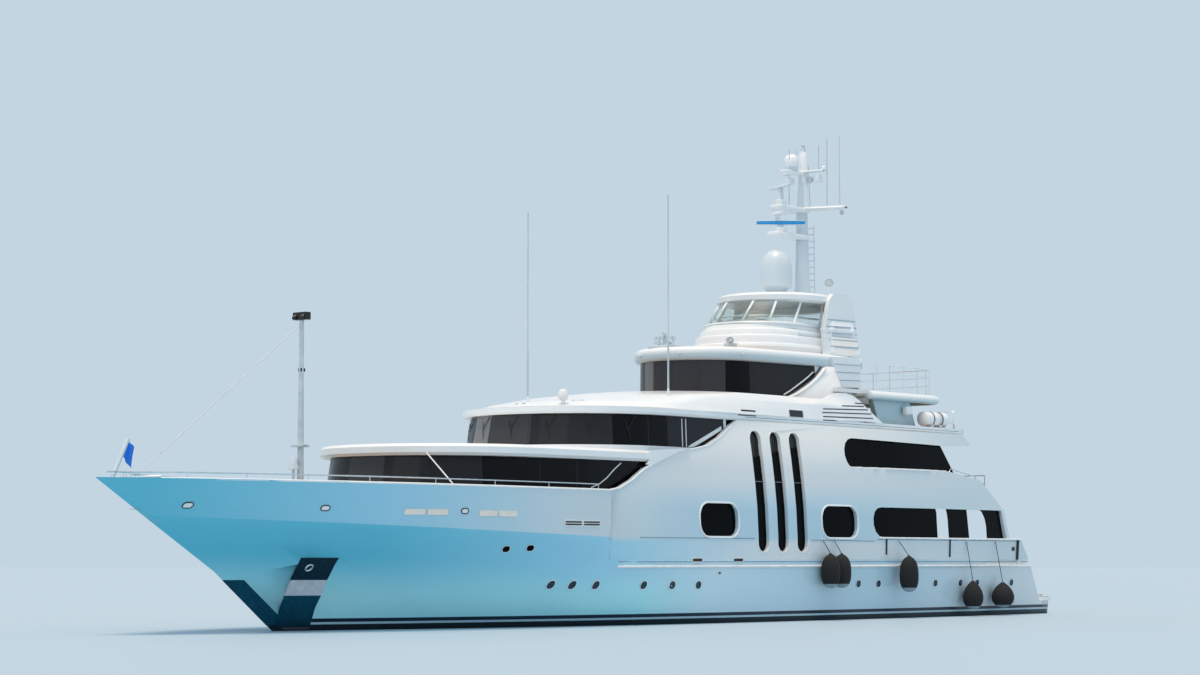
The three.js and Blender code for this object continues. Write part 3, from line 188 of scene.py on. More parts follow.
def softened(name, nodes, material, slot, body="yacht", sharp=32, crop=None, level=0.4):
    """A smooth copy of CAD nodes, which stands for them."""
    form = cad(*nodes.split())
    if crop:
        crop(form)
    bmesh.ops.remove_doubles(form, verts=form.verts, dist=SAME)
    if level:
        bmesh.ops.dissolve_limit(form, angle_limit=math.radians(level), verts=form.verts, edges=form.edges)
    show(name, form, material, slot, body, sharp, turn=False, instead=nodes.split())


def axis(material, name):
    """The piece's own coordinate along X, Y or Z."""
    return wire(material, "SeparateXYZ", Vector=wire(material, "TexCoord").outputs["Object"]).outputs[name]


def mixed(material, share, one, two, kind="MIX"):
    """Two colours mixed or multiplied, by the share of the second."""
    return wire(material, "Mix", {"data_type": "RGBA", "blend_type": kind}, _0=share, _6=one,
                _7=two).outputs[2]


def reckon(material, operation, *values):
    """The result of a step of arithmetic."""
    return wire(material, "Math", {"operation": operation},
                **{f"_{k}": v for k, v in enumerate(values)}).outputs[0]


def coloured(material, colour):
    """Gives a finish another colour."""
    material.node_tree.links.new(colour, material.node_tree.nodes["Principled BSDF"].inputs["Base Color"])
    return material


def own(material):
    """The colour that a finish has so far."""
    return material.node_tree.nodes["Principled BSDF"].inputs["Base Color"].links[0].from_socket


def worn(material, colour, low, share):
    """A colour that the finish's own noise darkens, by a share."""
    noise = material.node_tree.nodes["Noise Texture"].outputs["Fac"]
    wear = ramp(material, noise, [(NOISE_LOW, low), (NOISE_HIGH, PLAIN)])
    return mixed(material, share, colour, wear, "MULTIPLY")


def gloss_and_painted_sea_reflection(name, levels):
    """Pale gloss paint and a painted sea reflection deepening it to blue, from levels of (z from, z to, rows
    of (x, colour)).
    """
    material = finish(name, PLAIN, PLAIN, 0.35, (0.12, 0.2), 0, (0.5, 1, 1.6), coat=0.15, coat_rough=0.05,
                      specular=0.3, stops=(0, 1))
    x = axis(material, "X")
    along = span(material, x, -ENDS, ENDS)
    height = reckon(material, "SUBTRACT", axis(material, "Z"), span(material, x, RISE_FROM, RISE_TO, 0, RISE))
    # each level's row is the paint's shade with a painted reflection of the sea in it
    tints_and_painted_reflection = [ramp(material, along, [((x / ENDS + 1) / 2, colour) for x, colour in row])
             for _, _, row in levels]
    blue = tints_and_painted_reflection[0]
    for (z_from, z_to, _), tint in zip(levels[1:], tints_and_painted_reflection[1:]):
        blue = mixed(material, span(material, height, z_from, z_to, kind="SMOOTHSTEP"), blue, tint)
    return coloured(material, worn(material, blue, (246, 248, 250), 0.8))


# The shades of the paint with its painted sea reflection, from the stern's pale greys to the deep blue of the
# bow
MIST, CLOUD, PEARL = (207, 222, 228), (224, 230, 233), (248, 247, 243)
ICE, FROST, AQUA = (186, 216, 231), (204, 231, 243), (178, 242, 249)
SEA, LAGOON = (160, 216, 239), (96, 196, 223)


def hull_paint():
    """The hull's paint and painted sea reflection, with the bottom paint, the boot stripe and the white rub
    rail by height.
    """
    material = gloss_and_painted_sea_reflection("hull_gloss", [
        (0, 0, [(-12.6, CLOUD), (-6, ICE), (0, FROST), (2, AQUA)]),
        (0.3, 1.15, [(-12.6, CLOUD), (-6, ICE), (0, FROST), (3, SEA), (8, LAGOON)]),
        (1.59, 1.61, [(4, MIST), (8, SEA), (12, LAGOON)])])
    z = axis(material, "Z")
    stripes = ramp(material, span(material, z, 0, 0.25), [(0, (12, 30, 40)), (0.408, (176, 206, 220)),
                                                            (0.56, (10, 36, 56)), (0.816, (0, 0, 0, 0))],
                   True)
    rail = reckon(material, "MULTIPLY", reckon(material, "COMPARE", z, RAIL_Z, RAIL_HALF),
                  reckon(material, "LESS_THAN", axis(material, "X"), RAIL_END))
    striped = mixed(material, stripes.node.outputs["Alpha"], own(material), stripes)
    return coloured(material, mixed(material, rail, striped, tone(244, 247, 248)))


HULL_GLOSS = hull_paint()


def fair_stem(form):
    """Closes the two skins along the stem's edge."""
    bmesh.ops.remove_doubles(form, verts=form.verts, dist=SAME)
    web = [f for f in form.faces
           if f.calc_center_median().x > STEM_X and all(abs(v.co.y) < STEM_HALF for v in f.verts)]
    bmesh.ops.delete(form, geom=web, context="FACES")
    edge = [v for v in form.verts if v.co.x > STEM_X and abs(v.co.y) < STEM_HALF]
    for vert in edge:
        vert.co.y = 0
    bmesh.ops.remove_doubles(form, verts=edge, dist=0.004)


def cut(form, place, facing, **clear):
    """Cuts a form along a plane, and clears the inner or outer side."""
    geometry = form.verts[:] + form.edges[:] + form.faces[:]
    bmesh.ops.bisect_plane(form, geom=geometry, plane_co=place, plane_no=facing, **clear)


def open_weld(form):
    """Takes away the two faces that meet at the weld between the hull's blocks, and fairs the stem."""
    inner = [f for f in form.faces if abs(f.calc_center_median().x - WELD_X) < 0.002
             and abs(f.normal.x) > 0.99]
    bmesh.ops.delete(form, geom=inner, context="FACES")
    for z in (1.52, 1.68, 1.96):
        cut(form, (0, 0, z), (0, 0, 1))
    for x in (3.12, 4):
        cut(form, (x, 0, 0), (1, 0, 0))
    fair_stem(form)


softened("hull_plating", "hull stern", HULL_GLOSS, "hull_paint", sharp=24, crop=open_weld, level=0)
softened("bow_bulwark", "fore_bulwark", HULL_GLOSS, "hull_paint", sharp=24, crop=fair_stem, level=0)

# Stem guard and chafing plates
# Polished stainless plates, let into the bows and wrapped round the stem, which take the anchors'
# wear. Each bow's plate holds the ring of a hawse pipe.


def tree_of(form):
    """A bmesh's faces, for rays and nearest points."""
    tree = BVHTree.FromBMesh(form)
    form.free()
    return tree


PLATING = tree_of(cad("hull", "stern", "fore_bulwark", "side_shell_port", "side_glazing_port"))


def on_skin(x, z, stand=0, side=1, tree=PLATING):
    """The point of the port skin at x and z, `stand` proud of it, or its mirror image."""
    for slip in (0, 0.004, -0.004, 0.009):
        place, normal, _, _ = tree.ray_cast(Vector((x + slip, 4, z + slip)), Vector((0, -1, 0)))
        if place is not None and place.y > 0:
            break
    if place is None:
        place, normal, _, _ = tree.find_nearest(Vector((x, 2.2, z)))
    place = place + normal * stand
    return Vector((place.x, place.y * side, place.z))


def run(x0, z0, x1, z1, stand=0, side=1, steps=24, tree=PLATING):
    """Points along a straight run on the skin."""
    return [on_skin(x0 + (x1 - x0) * k / steps, z0 + (z1 - z0) * k / steps, stand, side, tree)
            for k in range(steps + 1)]


def arc(degrees):
    """Cosine and sine of angles."""
    return [(math.cos(math.radians(a)), math.sin(math.radians(a))) for a in degrees]


def rods(name, paths, radius, material, body="yacht", closed=False, round_=2):
    """Round rods, wires or beads, one along each path of points."""
    curve = bpy.data.curves.new(name, "CURVE")
    curve.dimensions, curve.bevel_depth, curve.bevel_resolution = "3D", radius, round_
    curve.use_fill_caps = not closed
    for path in paths:
        line = curve.splines.new("POLY")
        line.points.add(len(path) - 1)
        for point, place in zip(line.points, path):
            point.co = (*place, 1)
        line.use_cyclic_u = closed
    curve.materials.append(material)
    piece = put(name, curve)
    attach(piece, body)
    return piece


STEEL = finish("polished_steel", (196, 204, 210), (228, 233, 236), 9, (0.12, 0.26), 0.05, (1, 1, 0.3),
               metallic=1)


def banded(material, low, high, stops, dull, share):
    """Gives a finish colours by height, from low to high, dulled in places by its noise."""
    bands = ramp(material, span(material, axis(material, "Z"), low, high), stops)
    return coloured(material, worn(material, bands, (dull, dull, dull, 1), share))


# Mirror-polished plate with painted reflections: the sky's pale band between two dark teal bands of the sea,
# and fine wear
CHAFING_STEEL = banded(
    finish("chafing_steel", (60, 84, 102), (84, 110, 128), 14, (0.12, 0.3), 0.04, (1, 1, 0.15), 0.05,
           specular=0.25),
    0, 1.3, [(0, (0, 42, 60)), (0.2, (0, 74, 96)), (0.455, (0, 76, 98)), (0.46, (220, 225, 233)),
               (0.655, (218, 223, 231)), (0.66, (0, 42, 60))], 0.6, 0.6)
# Polished steel of the stem guard, whose teal is a painted reflection of the sea
STEM_STEEL_SEA_REFLECTION = finish("stem_steel_painted_reflection", (0, 62, 84), (6, 76, 100), 9, (0.18, 0.28), 0.05, (1, 1, 0.3), specular=0.2)
# The guard: the skin forward of a slanting line at the stem, lifted off the plating
guard = cad("hull")
fair_stem(guard)
fore, foot = Vector((9.78, 0, 0.844)), Vector((8.89, 0, 0.179))
cut(guard, fore, (fore - foot).cross(Vector((0, 1, 0))).normalized(), clear_outer=True)
cut(guard, (0, 0, 0.1), (0, 0, 1), clear_inner=True)
cut(guard, (0, 0, 0.86), (0, 0, 1), clear_outer=True)
bmesh.ops.remove_doubles(guard, verts=guard.verts, dist=SAME)
guard.normal_update()
for vert, normal in [(v, v.normal.copy()) for v in guard.verts]:
    vert.co += normal * 0.004
show("stem_guard", guard, STEM_STEEL_SEA_REFLECTION, "stainless", sharp=30, turn=False)
for side, sign in (("port", 1), ("starboard", -1)):
    softened("chafing_plate_" + side, "anchor_plate_" + side, CHAFING_STEEL, "stainless")
    corners = [(9.156, 1.223), (8.568, 1.223), (8.405, 0.07), (8.98, 0.07)]
    edge = []
    for start, end in zip(corners, corners[1:] + corners[:1]):
        edge += run(*start, *end, 0.004, sign, 8)[:-1]
    rods("chafing_plate_edge_" + side, [edge], 0.008, CHAFING_STEEL, closed=True)
    ring = [on_skin(8.93 + 0.05 * c, 1.075 + 0.05 * s, 0.02, sign) for c, s in arc(range(0, 360, 18))]
    rods("hawse_ring_" + side, [ring], 0.018, STEEL, closed=True)

# Ports, fairleads and vents of the hull
# Cast portlights with dark toughened glass in polished rims, mooring fairleads lined in white, and
# slotted engine-room vents, all bolted to the plating.
BLACK_TRIM = finish("black_trim", (14, 16, 18), (28, 30, 33), 6, (0.3, 0.5), 0.05)
DARK_GLASS = finish("dark_glass", (3, 4, 6), (9, 10, 13), 0.8, (0.03, 0.07), specular=0.04)
PORT_GLASS = finish("port_glass", (28, 54, 68), (42, 72, 88), 0.8, (0.03, 0.07), specular=0.2)
PALE_TRIM = finish("pale_trim", (228, 236, 240), (242, 246, 248), 4, (0.2, 0.34), 0.03)
CREAM = finish("slot_lining", (236, 226, 216), (244, 236, 228), 5, (0.3, 0.4), 0.03)
SEAM_GREY = finish("seam_grey", (96, 124, 144), (124, 150, 168), 5, (0.3, 0.45), 0.03)


def outline_at(x, z, half_w, half_h, corner, count=6):
    """A rounded rectangle in side view, as points (x, z)."""
    points = []
    for turn, (sx, sz) in enumerate([(1, 1), (-1, 1), (-1, -1), (1, -1)]):
        cx, cz = x + sx * (half_w - corner), z + sz * (half_h - corner)
        quarter = arc(90 * (turn + k / count) for k in range(count + 1))
        points += [(cx + corner * c, cz + corner * s) for c, s in quarter]
    return points


def thicken(form, faces, depth):
    """Gives faces a thickness, as far and as deep as the shift."""
    grown = bmesh.ops.extrude_face_region(form, geom=faces, use_keep_orig=True)
    bmesh.ops.translate(form, verts=[v for v in grown["geom"] if isinstance(v, bmesh.types.BMVert)],
                        vec=depth)


def plate(form, ring, depth):
    """Adds a flat plate on a ring of points, thickened across the yacht."""
    thicken(form, [form.faces.new([form.verts.new(place) for place in ring])], (0, depth, 0))


def skin_pane(form, points, stand, side, tree=PLATING):
    """Adds a flat piece on the skin inside the outline, standing a little proud."""
    plate(form, [on_skin(x, z, stand, side, tree) for x, z in points], -0.012 * side)


# name, places (x, z), half-width, half-height, corner, rim radius, stand, fill, rim
PORTS = [
    ("bow_port", [(5.516, 1.38), (4.988, 1.398)], 0.085, 0.056, 0.055, 0.005, 0.008, DARK_GLASS, PALE_TRIM),
    ("lower_port", [(4.246, 0.757), (3.76, 0.75), (3.205, 0.745), (1.962, 0.735), (1.203, 0.73),
                    (0.437, 0.725), (-3.697, 0.715), (-4.691, 0.712), (-5.392, 0.71), (-7.531, 0.706),
                    (-8.537, 0.704), (-9.23, 0.702), (-10.727, 0.7)], 0.09, 0.078, 0.075, 0.008, 0.008,
     PORT_GLASS, PALE_TRIM),
    ("fairlead", [(11.307, 2.072), (9.184, 2.043), (6.554, 2.022)], 0.074, 0.043, 0.042, 0.009, 0.008,
     PALE_TRIM, BLACK_TRIM),
    ("bow_slot", [(7.56, 2), (7.12, 2), (6.035, 1.99), (5.6, 1.99)], 0.2, 0.045, 0.03, 0.005, 0.008, CREAM,
     CREAM),
    ("hull_vent_frame", [(4, 1.84), (3.53, 1.84)], 0.225, 0.055, 0.02, 0.006, 0.008, PALE_TRIM, PALE_TRIM),
    ("hull_vent_upper", [(4, 1.862), (3.53, 1.862)], 0.205, 0.009, 0.009, 0.004, 0.014, BLACK_TRIM,
     BLACK_TRIM),
    ("hull_vent_lower", [(4, 1.818), (3.53, 1.818)], 0.205, 0.009, 0.009, 0.004, 0.014, BLACK_TRIM,
     BLACK_TRIM),
    ("side_vent", [(0.526, 1.189), (-0.718, 1.189)], 0.15, 0.036, 0.025, 0.007, 0.008, BLACK_TRIM, PALE_TRIM),
    ("scupper", [(-0.157, 0.945)], 0.045, 0.03, 0.028, 0.008, 0.008, BLACK_TRIM, PALE_TRIM),
]
for name, places, half_w, half_h, corner, rim, stand, fill, edge in PORTS:
    fills, rings = bmesh.new(), []
    for x, z in places:
        for sign in (1, -1):
            points = outline_at(x, z, half_w, half_h, corner)
            skin_pane(fills, points, stand, sign)
            rings.append([on_skin(px, pz, stand, sign) for px, pz in points])
    show(name + "_panes", fills, fill, "dark_glass" if fill in (DARK_GLASS, PORT_GLASS) else "white_paint")
    rods(name + "_rims", rings, rim, edge, closed=True)


def runs(rows, stand=0, steps=24, tree=PLATING):
    """Straight runs on both sides' skin, from rows of x and z of both ends."""
    return [run(*row, stand, sign, steps, tree) for row in rows for sign in (1, -1)]


# Grooves and weld seams of the hull and its plating
rods("side_grooves", runs([(2.2, 1.6, -1.22, 1.6), (-3.05, 1.58, -5.2, 1.57), (2.75, 1.16, -10.9, 1.16),
                           (-5.3, 1.605, -11, 1.6), (-11.1, 1.16, -11.4, 1.16)]), 0.007, SEAM_GREY,
     round_=1)
# The cap of the bow's bulwark, which turns up along the shoulder of the side plating
CAP = [(x, 2.452 + 0.0049 * (x - 3)) for x in [12.77 - 0.25 * k for k in range(40)]]
CAP += [(3, 2.452), (2.7, 2.5), (2.35, 2.64), (1.95, 2.86), (1.6, 2.99), (1, 3.2), (0.3, 3.3), (0, 3.355),
        (-0.4, 3.52), (-0.8, 3.76), (-1, 3.85)]
rods("bulwark_cap", [[on_skin(x, z - 0.035, -0.006, sign) + Vector((0, 0, 0.026)) for x, z in CAP]
                     for sign in (1, -1)], 0.021, PALE_TRIM)
# The rub rail and the sills of the openings
rods("rub_rail", runs([(2.76, 1.07, -10.85, 1.07)], 0.004, 60), 0.018, PALE_TRIM)
rods("side_sills", runs([(-4.64, 3.05, -8.23, 3.06), (-5.4, 1.635, -11.05, 1.635)], 0.004), 0.02, PALE_TRIM)

# Side plating and glazing
# Aluminium plating of the two full-beam decks, sprayed with the hull. Windows and three tall slits
# are cut in it, lined with pale mouldings, and dark glass is bonded behind them.
# The side plating's paint is pale; its blue-greys hold painted shade and a painted reflection of the sea
SIDE_GLOSS = gloss_and_painted_sea_reflection("side_gloss", [
    (0, 0, [(-10, MIST), (-2, CLOUD), (3, SEA)]),
    (1.5, 1.63, [(-10, MIST), (-4, ICE), (0, ICE), (3, MIST)]),
    (2.1, 2.8, [(-9, MIST), (-3, CLOUD), (1, CLOUD), (3, MIST)]),
    (2.8, 3.6, [(-10, MIST), (-4, PEARL)])])
for side in ("port", "starboard"):
    softened("side_plating_" + side, "side_shell_" + side, SIDE_GLOSS, "hull_paint", sharp=28, level=0)
    # The glazing's near-black is partly its tint and partly painted shade of the decks behind it
    softened("side_glass_" + side, "side_glazing_" + side, DARK_GLASS, "dark_glass", sharp=28)
SHELL = tree_of(cad("side_shell_port"))
# x fore, x aft, z low, z high, corner
WINDOWS = [(0.43, -0.74, 1.64, 2.27, 0.26), (-3.43, -4.64, 1.64, 2.27, 0.26)]
SLITS = [(-1.35, -1.69, 1.35, 3.68, 0.17), (-1.975, -2.315, 1.35, 3.68, 0.17),
         (-2.6, -2.94, 1.35, 3.68, 0.17)]
SLIT_DEPTH = 0.068


def opening(fore, aft, low, high, corner, grow):
    """The outline of an opening, `grow` outside it."""
    return outline_at((fore + aft) / 2, (low + high) / 2, (fore - aft) / 2 + grow, (high - low) / 2 + grow,
                      corner + grow, 8)


def rim_of(row, grow, sign, shift=(0, 0, 0)):
    """The rim of an opening on the shell's outer face."""
    return [on_skin(x, z, 0, sign, SHELL) + Vector(shift) for x, z in opening(*row, grow)]


bars, slits = [], bmesh.new()
for sign in (1, -1):
    for row in SLITS:
        fore, aft = row[:2]
        mid = on_skin(fore + 0.03, 2.7, 0, sign, SHELL).y - 0.062 * sign
        bars.append([(fore, mid, 2.7), (aft, mid, 2.7)])
        skin = [(x, on_skin(x + math.copysign(0.03, x - (fore + aft) / 2), z, 0, sign, SHELL).y, z)
                for x, z in opening(*row, 0.01)]
        slits.faces.new([slits.verts.new((x, y - SLIT_DEPTH * sign, z)) for x, y, z in skin])
bmesh.ops.solidify(slits, geom=slits.faces[:], thickness=0.002)
rods("window_rims", [rim_of(row, 0.012, sign) for sign in (1, -1) for row in WINDOWS + SLITS], 0.009,
     PALE_TRIM, closed=True)
rods("window_linings", [rim_of(row, 0.014, sign, (-0.014, 0, -0.014)) for row in WINDOWS for sign in (1, -1)],
     0.016, PALE_TRIM, closed=True)
rods("slit_bars", bars, 0.006, SEAM_GREY)
# Tinted glass of the slits: brown over the joint at deck level, violet under it
SLIT_GLASS = banded(finish("slit_glass", (0.7, 0.7, 0.7, 1), PLAIN, 1.6, (0.03, 0.08), 0, (1, 1, 0.5),
                           coat=0.5, coat_rough=0.03), 1.3, 3.7, [(0, (56, 47, 62)), (0.57, (30, 28, 36)),
                                                        (0.6, (58, 50, 46)), (1, (24, 25, 30))], 0.75, 0.7)
show("slit_panes", slits, SLIT_GLASS, "dark_glass")

# Deckhouses
# Moulded white houses with one continuous band of dark bonded glass round each nose. Black seams
# part the panes, and pantograph wipers hang over the upper band.
WHITE_GLOSS = finish("white_gloss", (233, 238, 241), (241, 244, 246), 1.3, (0.22, 0.28), coat=0.25,
                     coat_rough=0.08)
# White paint and plastic made deeper and bluer than the white gloss: painted shade
PAINTED_SHADE_WHITE = finish("painted_shade_white", (204, 216, 224), (214, 225, 232), 1.1, (0.28, 0.36), coat=0.15)


def gloss_with_painted_low_shade(name, z_low, z_high, painted_shade_below):
    """White gloss with painted shade on its lower part, as under the edge of a roof."""
    material = finish(name, (236, 241, 243), (243, 246, 247), 1.3, (0.22, 0.28), coat=0.2)
    share = span(material, axis(material, "Z"), z_low, z_high)
    return coloured(material, mixed(material, share, tone(*painted_shade_below), own(material)))


# Painted shade: the terrace's fins under its slab and the roof's brow under its edge are a deeper blue-white
TERRACE_PAINTED_SHADE = gloss_with_painted_low_shade("terrace_painted_shade", 4.54, 4.6, (176, 208, 221))
softened("wheelhouse_roof_skin", "wheelhouse_roof", gloss_with_painted_low_shade("brow_painted_shade", 5.24, 5.36, (196, 212, 220)),
         "white_paint", sharp=34)
softened("sun_terrace_skin", "sun_terrace", TERRACE_PAINTED_SHADE, "white_paint", sharp=34)
for name in ("fore_house_wall", "fore_house_roof", "upper_house_wall", "bridge_deck", "bridge_bulwark",
             "wheelhouse_wall", "hardtop", "saloon_bulkhead", "upper_bulkhead"):
    softened(name + "_skin", name, WHITE_GLOSS, "white_paint", sharp=34)


def glass_with_painted_reflections(name, centre, panes):
    """Tinted glass with painted reflections, whose tone changes from pane to pane: (angle from the bow,
    colour) round the nose.
    """
    material = finish(name, (0.86, 0.86, 0.86, 1), PLAIN, 1.1, (0.03, 0.07), 0, (1, 1, 0.4), specular=0.12)
    ahead = reckon(material, "SUBTRACT", axis(material, "X"), centre)
    angle = reckon(material, "ARCTAN2", axis(material, "Y"), ahead)
    # each pane's tint with a painted reflection of what it faces
    tint = ramp(material, span(material, angle, -math.pi, math.pi),
                [((start + 180) / 360, colour) for start, colour in panes], True)
    return coloured(material, mixed(material, 1, tint, own(material), "MULTIPLY"))


def on_nose(band, angle, z, stand):
    """The point of a band of glass seen from its nose's centre at an angle from the bow."""
    tree, centre = GLASS[band]
    (ahead, across), = arc([angle])
    out = Vector((ahead, across, 0))
    place, normal, _, _ = tree.ray_cast(Vector((centre, 0, z)) + out * 4, -out)
    return place + normal * stand


# Tones of the panes: dark tints, with a painted reflection of the sky and a painted glint on some
DEEP, SMOKE, SKY_REFLECTION, PAINTED_GLINT = (16, 16, 19), (47, 48, 52), (70, 71, 75), (132, 133, 136)
UPPER, BRIDGE = "upper_house_glass", "wheelhouse_glass"
# node, centre of the nose, z of sill and head, angles of the seams from the bow, x of the seams along
# the side, and where each pane's tone, its tint with a painted reflection, starts
BANDS = [
    ("fore_house_glass", 5.375, 2.455, 2.965, (-78, -54, -36, -8, 19, 36, 54, 78), (4.425, 3.575),
     [(-180, DEEP), (-78, SMOKE), (-8, SKY_REFLECTION), (19, SMOKE), (78, DEEP)]),
    (UPPER, 1.39, 3.305, 3.845, (-86, -62, -38, -10, 17, 40, 62, 86), (0.425,),
     [(-180, DEEP), (-62, SMOKE), (-28, PAINTED_GLINT), (-10, SKY_REFLECTION), (17, SMOKE), (62, DEEP), (100, SMOKE)]),
    (BRIDGE, -2.58, 4.485, 5.105, (-88, -60, -36, -12, 10, 36, 60, 88), (-2.8, -3.325),
     [(-180, SMOKE), (-60, SKY_REFLECTION), (-28, PAINTED_GLINT), (-12, SKY_REFLECTION), (60, DEEP), (88, SMOKE)]),
]
# angles of the upper house's wipers from the bow, and how far their arms reach down from the head
WIPERS, REACH = (-33, -11, 11, 33, 55, 77), 0.25
GLASS, seams = {}, []
for node, centre, sill, head, angles, sides, panes in BANDS:
    softened(node + "_band", node, glass_with_painted_reflections(node + "_painted_reflections", centre, panes), "dark_glass", sharp=40)
    GLASS[node] = tree_of(cad(node)), centre
    heights = [sill + 0.01 + (head - sill - 0.02) * k / 6 for k in range(7)]
    seams += [[on_nose(node, angle, z, -0.002) for z in heights] for angle in angles]
    seams += [[on_skin(x, z, -0.002, sign, GLASS[node][0]) for z in heights] for x in sides
              for sign in (1, -1)]
    if node == UPPER:
        arms = [[on_nose(UPPER, a, head, 0.02), on_nose(UPPER, a - 5, head - REACH, 0.028)] for a in WIPERS]
        rods("wiper_arms", arms, 0.007, BLACK_TRIM, round_=1)
        rods("wiper_blades", [[on_nose(UPPER, a - 5 + turn, head - REACH + rise, 0.016) for turn, rise in
                               ((-1.5, 0.16), (0, 0), (1.5, -0.16))] for a in WIPERS], 0.006, BLACK_TRIM,
             round_=1)
rods("glass_seams", seams, 0.006, BLACK_TRIM, round_=1)


def both(*paths):
    """Each path and its mirror image."""
    return [[(x, y * sign, z) for x, y, z in path] for path in paths for sign in (1, -1)]


# White rods and mouldings of the houses, fixed with small welded feet
rods("fore_stay_rods", [[(6.68, 1.31, 3.04), (6.84, 2.13, 2.46)]] + both(
    [(2.43, 2.1, 2.95), (2.62, 2.1, 2.83), (2.82, 2.1, 2.675), (3.02, 2.095, 2.56), (3.25, 2.09, 2.486)]),
     0.012, WHITE_GLOSS)
frames, fairing = [], bmesh.new()
for sign in (1, -1):
    frames += [run(0.386, 3.288 + lift, -0.964, 3.834 + lift, 0.006, sign, 8, GLASS[UPPER][0])[:7]
               for lift in (-0.024, 0, 0.024)]
    frames.append([on_skin(x, z, 0.012, sign, GLASS[BRIDGE][0])
                   for x, z in [(-3.48, 4.5), (-3.7, 4.6), (-3.99, 4.76), (-4.2, 4.88), (-4.38, 5)]])
    # the fairing which carries the forward roof's edge into the side plating
    plate(fairing, [(x, 2.262 * sign, z) for x, z in [(1.78, 3.2), (0.6, 3.28), (0.95, 3.2), (1.6, 2.975),
                                                      (1.78, 2.9), (1.86, 2.95),
                                                      (1.78, 2.995)]], -0.06 * sign)
show("roof_fairings", fairing, WHITE_GLOSS, "white_paint", sharp=30)
rods("raked_frames", frames, 0.018, WHITE_GLOSS)
rods("upper_posts", runs([(x, 3.31, x, 3.84) for x in (0.565, 0.45)], 0.006, 2, GLASS[UPPER][0]), 0.01,
     WHITE_GLOSS)

# Bridge deck: vents, louvres and seams
# The bulwark round the bridge deck is one moulding. Slotted air grilles are let into its after hump,
# and small vents and lights into its side.
BELT = tree_of(cad("bridge_bulwark", "bridge_deck", "wheelhouse_wall", "sun_terrace", "radar_arch"))
# x and z of the fore and after ends
LOUVRES = [(-5.08, 4.38, -5.36, 4.38), (-4.61, 4.305, -5.47, 4.327), (-3.93, 4.214, -5.5, 4.258),
           (-3.88, 4.139, -5.6, 4.176), (-3.89, 4.057, -5.64, 4.086), (-3.85, 3.985, -5.7, 4.002)]
slots = bmesh.new()
for sign in (1, -1):
    for x0, z0, x1, z1 in LOUVRES:
        top, low = (run(x0, z0 + rise, x1, z1 + rise, 0.002, sign, 10, BELT) for rise in (0.011, -0.011))
        for ring in zip(top, top[1:], low[1:], low):
            slots.faces.new([slots.verts.new(place) for place in ring])
    for row in ((-1.365, 4.065, 0.24, 0.016, 0.014), (-1.36, 3.975, 0.29, 0.01, 0.008),
                (-2.96, 4.072, 0.23, 0.065, 0.02)):
        skin_pane(slots, outline_at(*row), 0.003, sign, BELT)
bmesh.ops.remove_doubles(slots, verts=slots.verts, dist=0.0002)
show("bulwark_grilles", slots, BLACK_TRIM, "dark_glass")
rods("bridge_seams", runs([(-1.3, 3.94, -9, 3.94)], 0, 40, BELT), 0.006, SEAM_GREY, round_=1)
rods("grille_rims", [[on_skin(x, z, 0.004, sign, BELT) for x, z in outline_at(-2.96, 4.072, 0.24, 0.075,
                                                                              0.025)]
                     for sign in (1, -1)], 0.008, PAINTED_SHADE_WHITE, closed=True)


def lathe(form, profile, place, steps=24, axis=(0, 0, 1)):
    """Adds a body turned about an axis through a place, from rows of (radius, height)."""
    turned = bmesh.new()
    verts = [turned.verts.new((r, 0, h)) for r, h in profile]
    for a, b in zip(verts, verts[1:]):
        turned.edges.new((a, b))
    bmesh.ops.spin(turned, geom=turned.verts[:] + turned.edges[:], cent=(0, 0, 0), axis=(0, 0, 1),
                   angle=math.tau, steps=steps, use_merge=True)
    bmesh.ops.remove_doubles(turned, verts=turned.verts, dist=0.0003)
    bmesh.ops.recalc_face_normals(turned, faces=turned.faces)
    turn = Vector((0, 0, 1)).rotation_difference(Vector(axis)).to_matrix().to_4x4()
    bmesh.ops.transform(turned, matrix=Matrix.Translation(place) @ turn, verts=turned.verts)
    mesh = bpy.data.meshes.new("turned")
    turned.to_mesh(mesh)
    turned.free()
    form.from_mesh(mesh)
    bpy.data.meshes.remove(mesh)


def brick(form, one, other, edge=0.006):
    """Adds a block with rounded edges between two corners."""
    low, high = (Vector([choose(pair) for pair in zip(one, other)]) for choose in (min, max))
    made = bmesh.ops.create_cube(form, size=1)["verts"]
    bmesh.ops.scale(form, vec=high - low, verts=made)
    bmesh.ops.translate(form, verts=made, vec=(low + high) / 2)
    edges = {e for v in made for e in v.link_edges}
    bmesh.ops.bevel(form, geom=list(edges), offset=min(edge, min(high - low) * 0.3), offset_type="OFFSET",
                    segments=2, profile=0.5, affect="EDGES", material=-1)


def fitting(name, material, slot, turned=(), blocks=(), **more):
    """Makes one piece of turned parts and rounded blocks."""
    form = bmesh.new()
    for row in turned:
        lathe(form, *row)
    for row in blocks:
        brick(form, *row)
    return show(name, form, material, slot, **more)


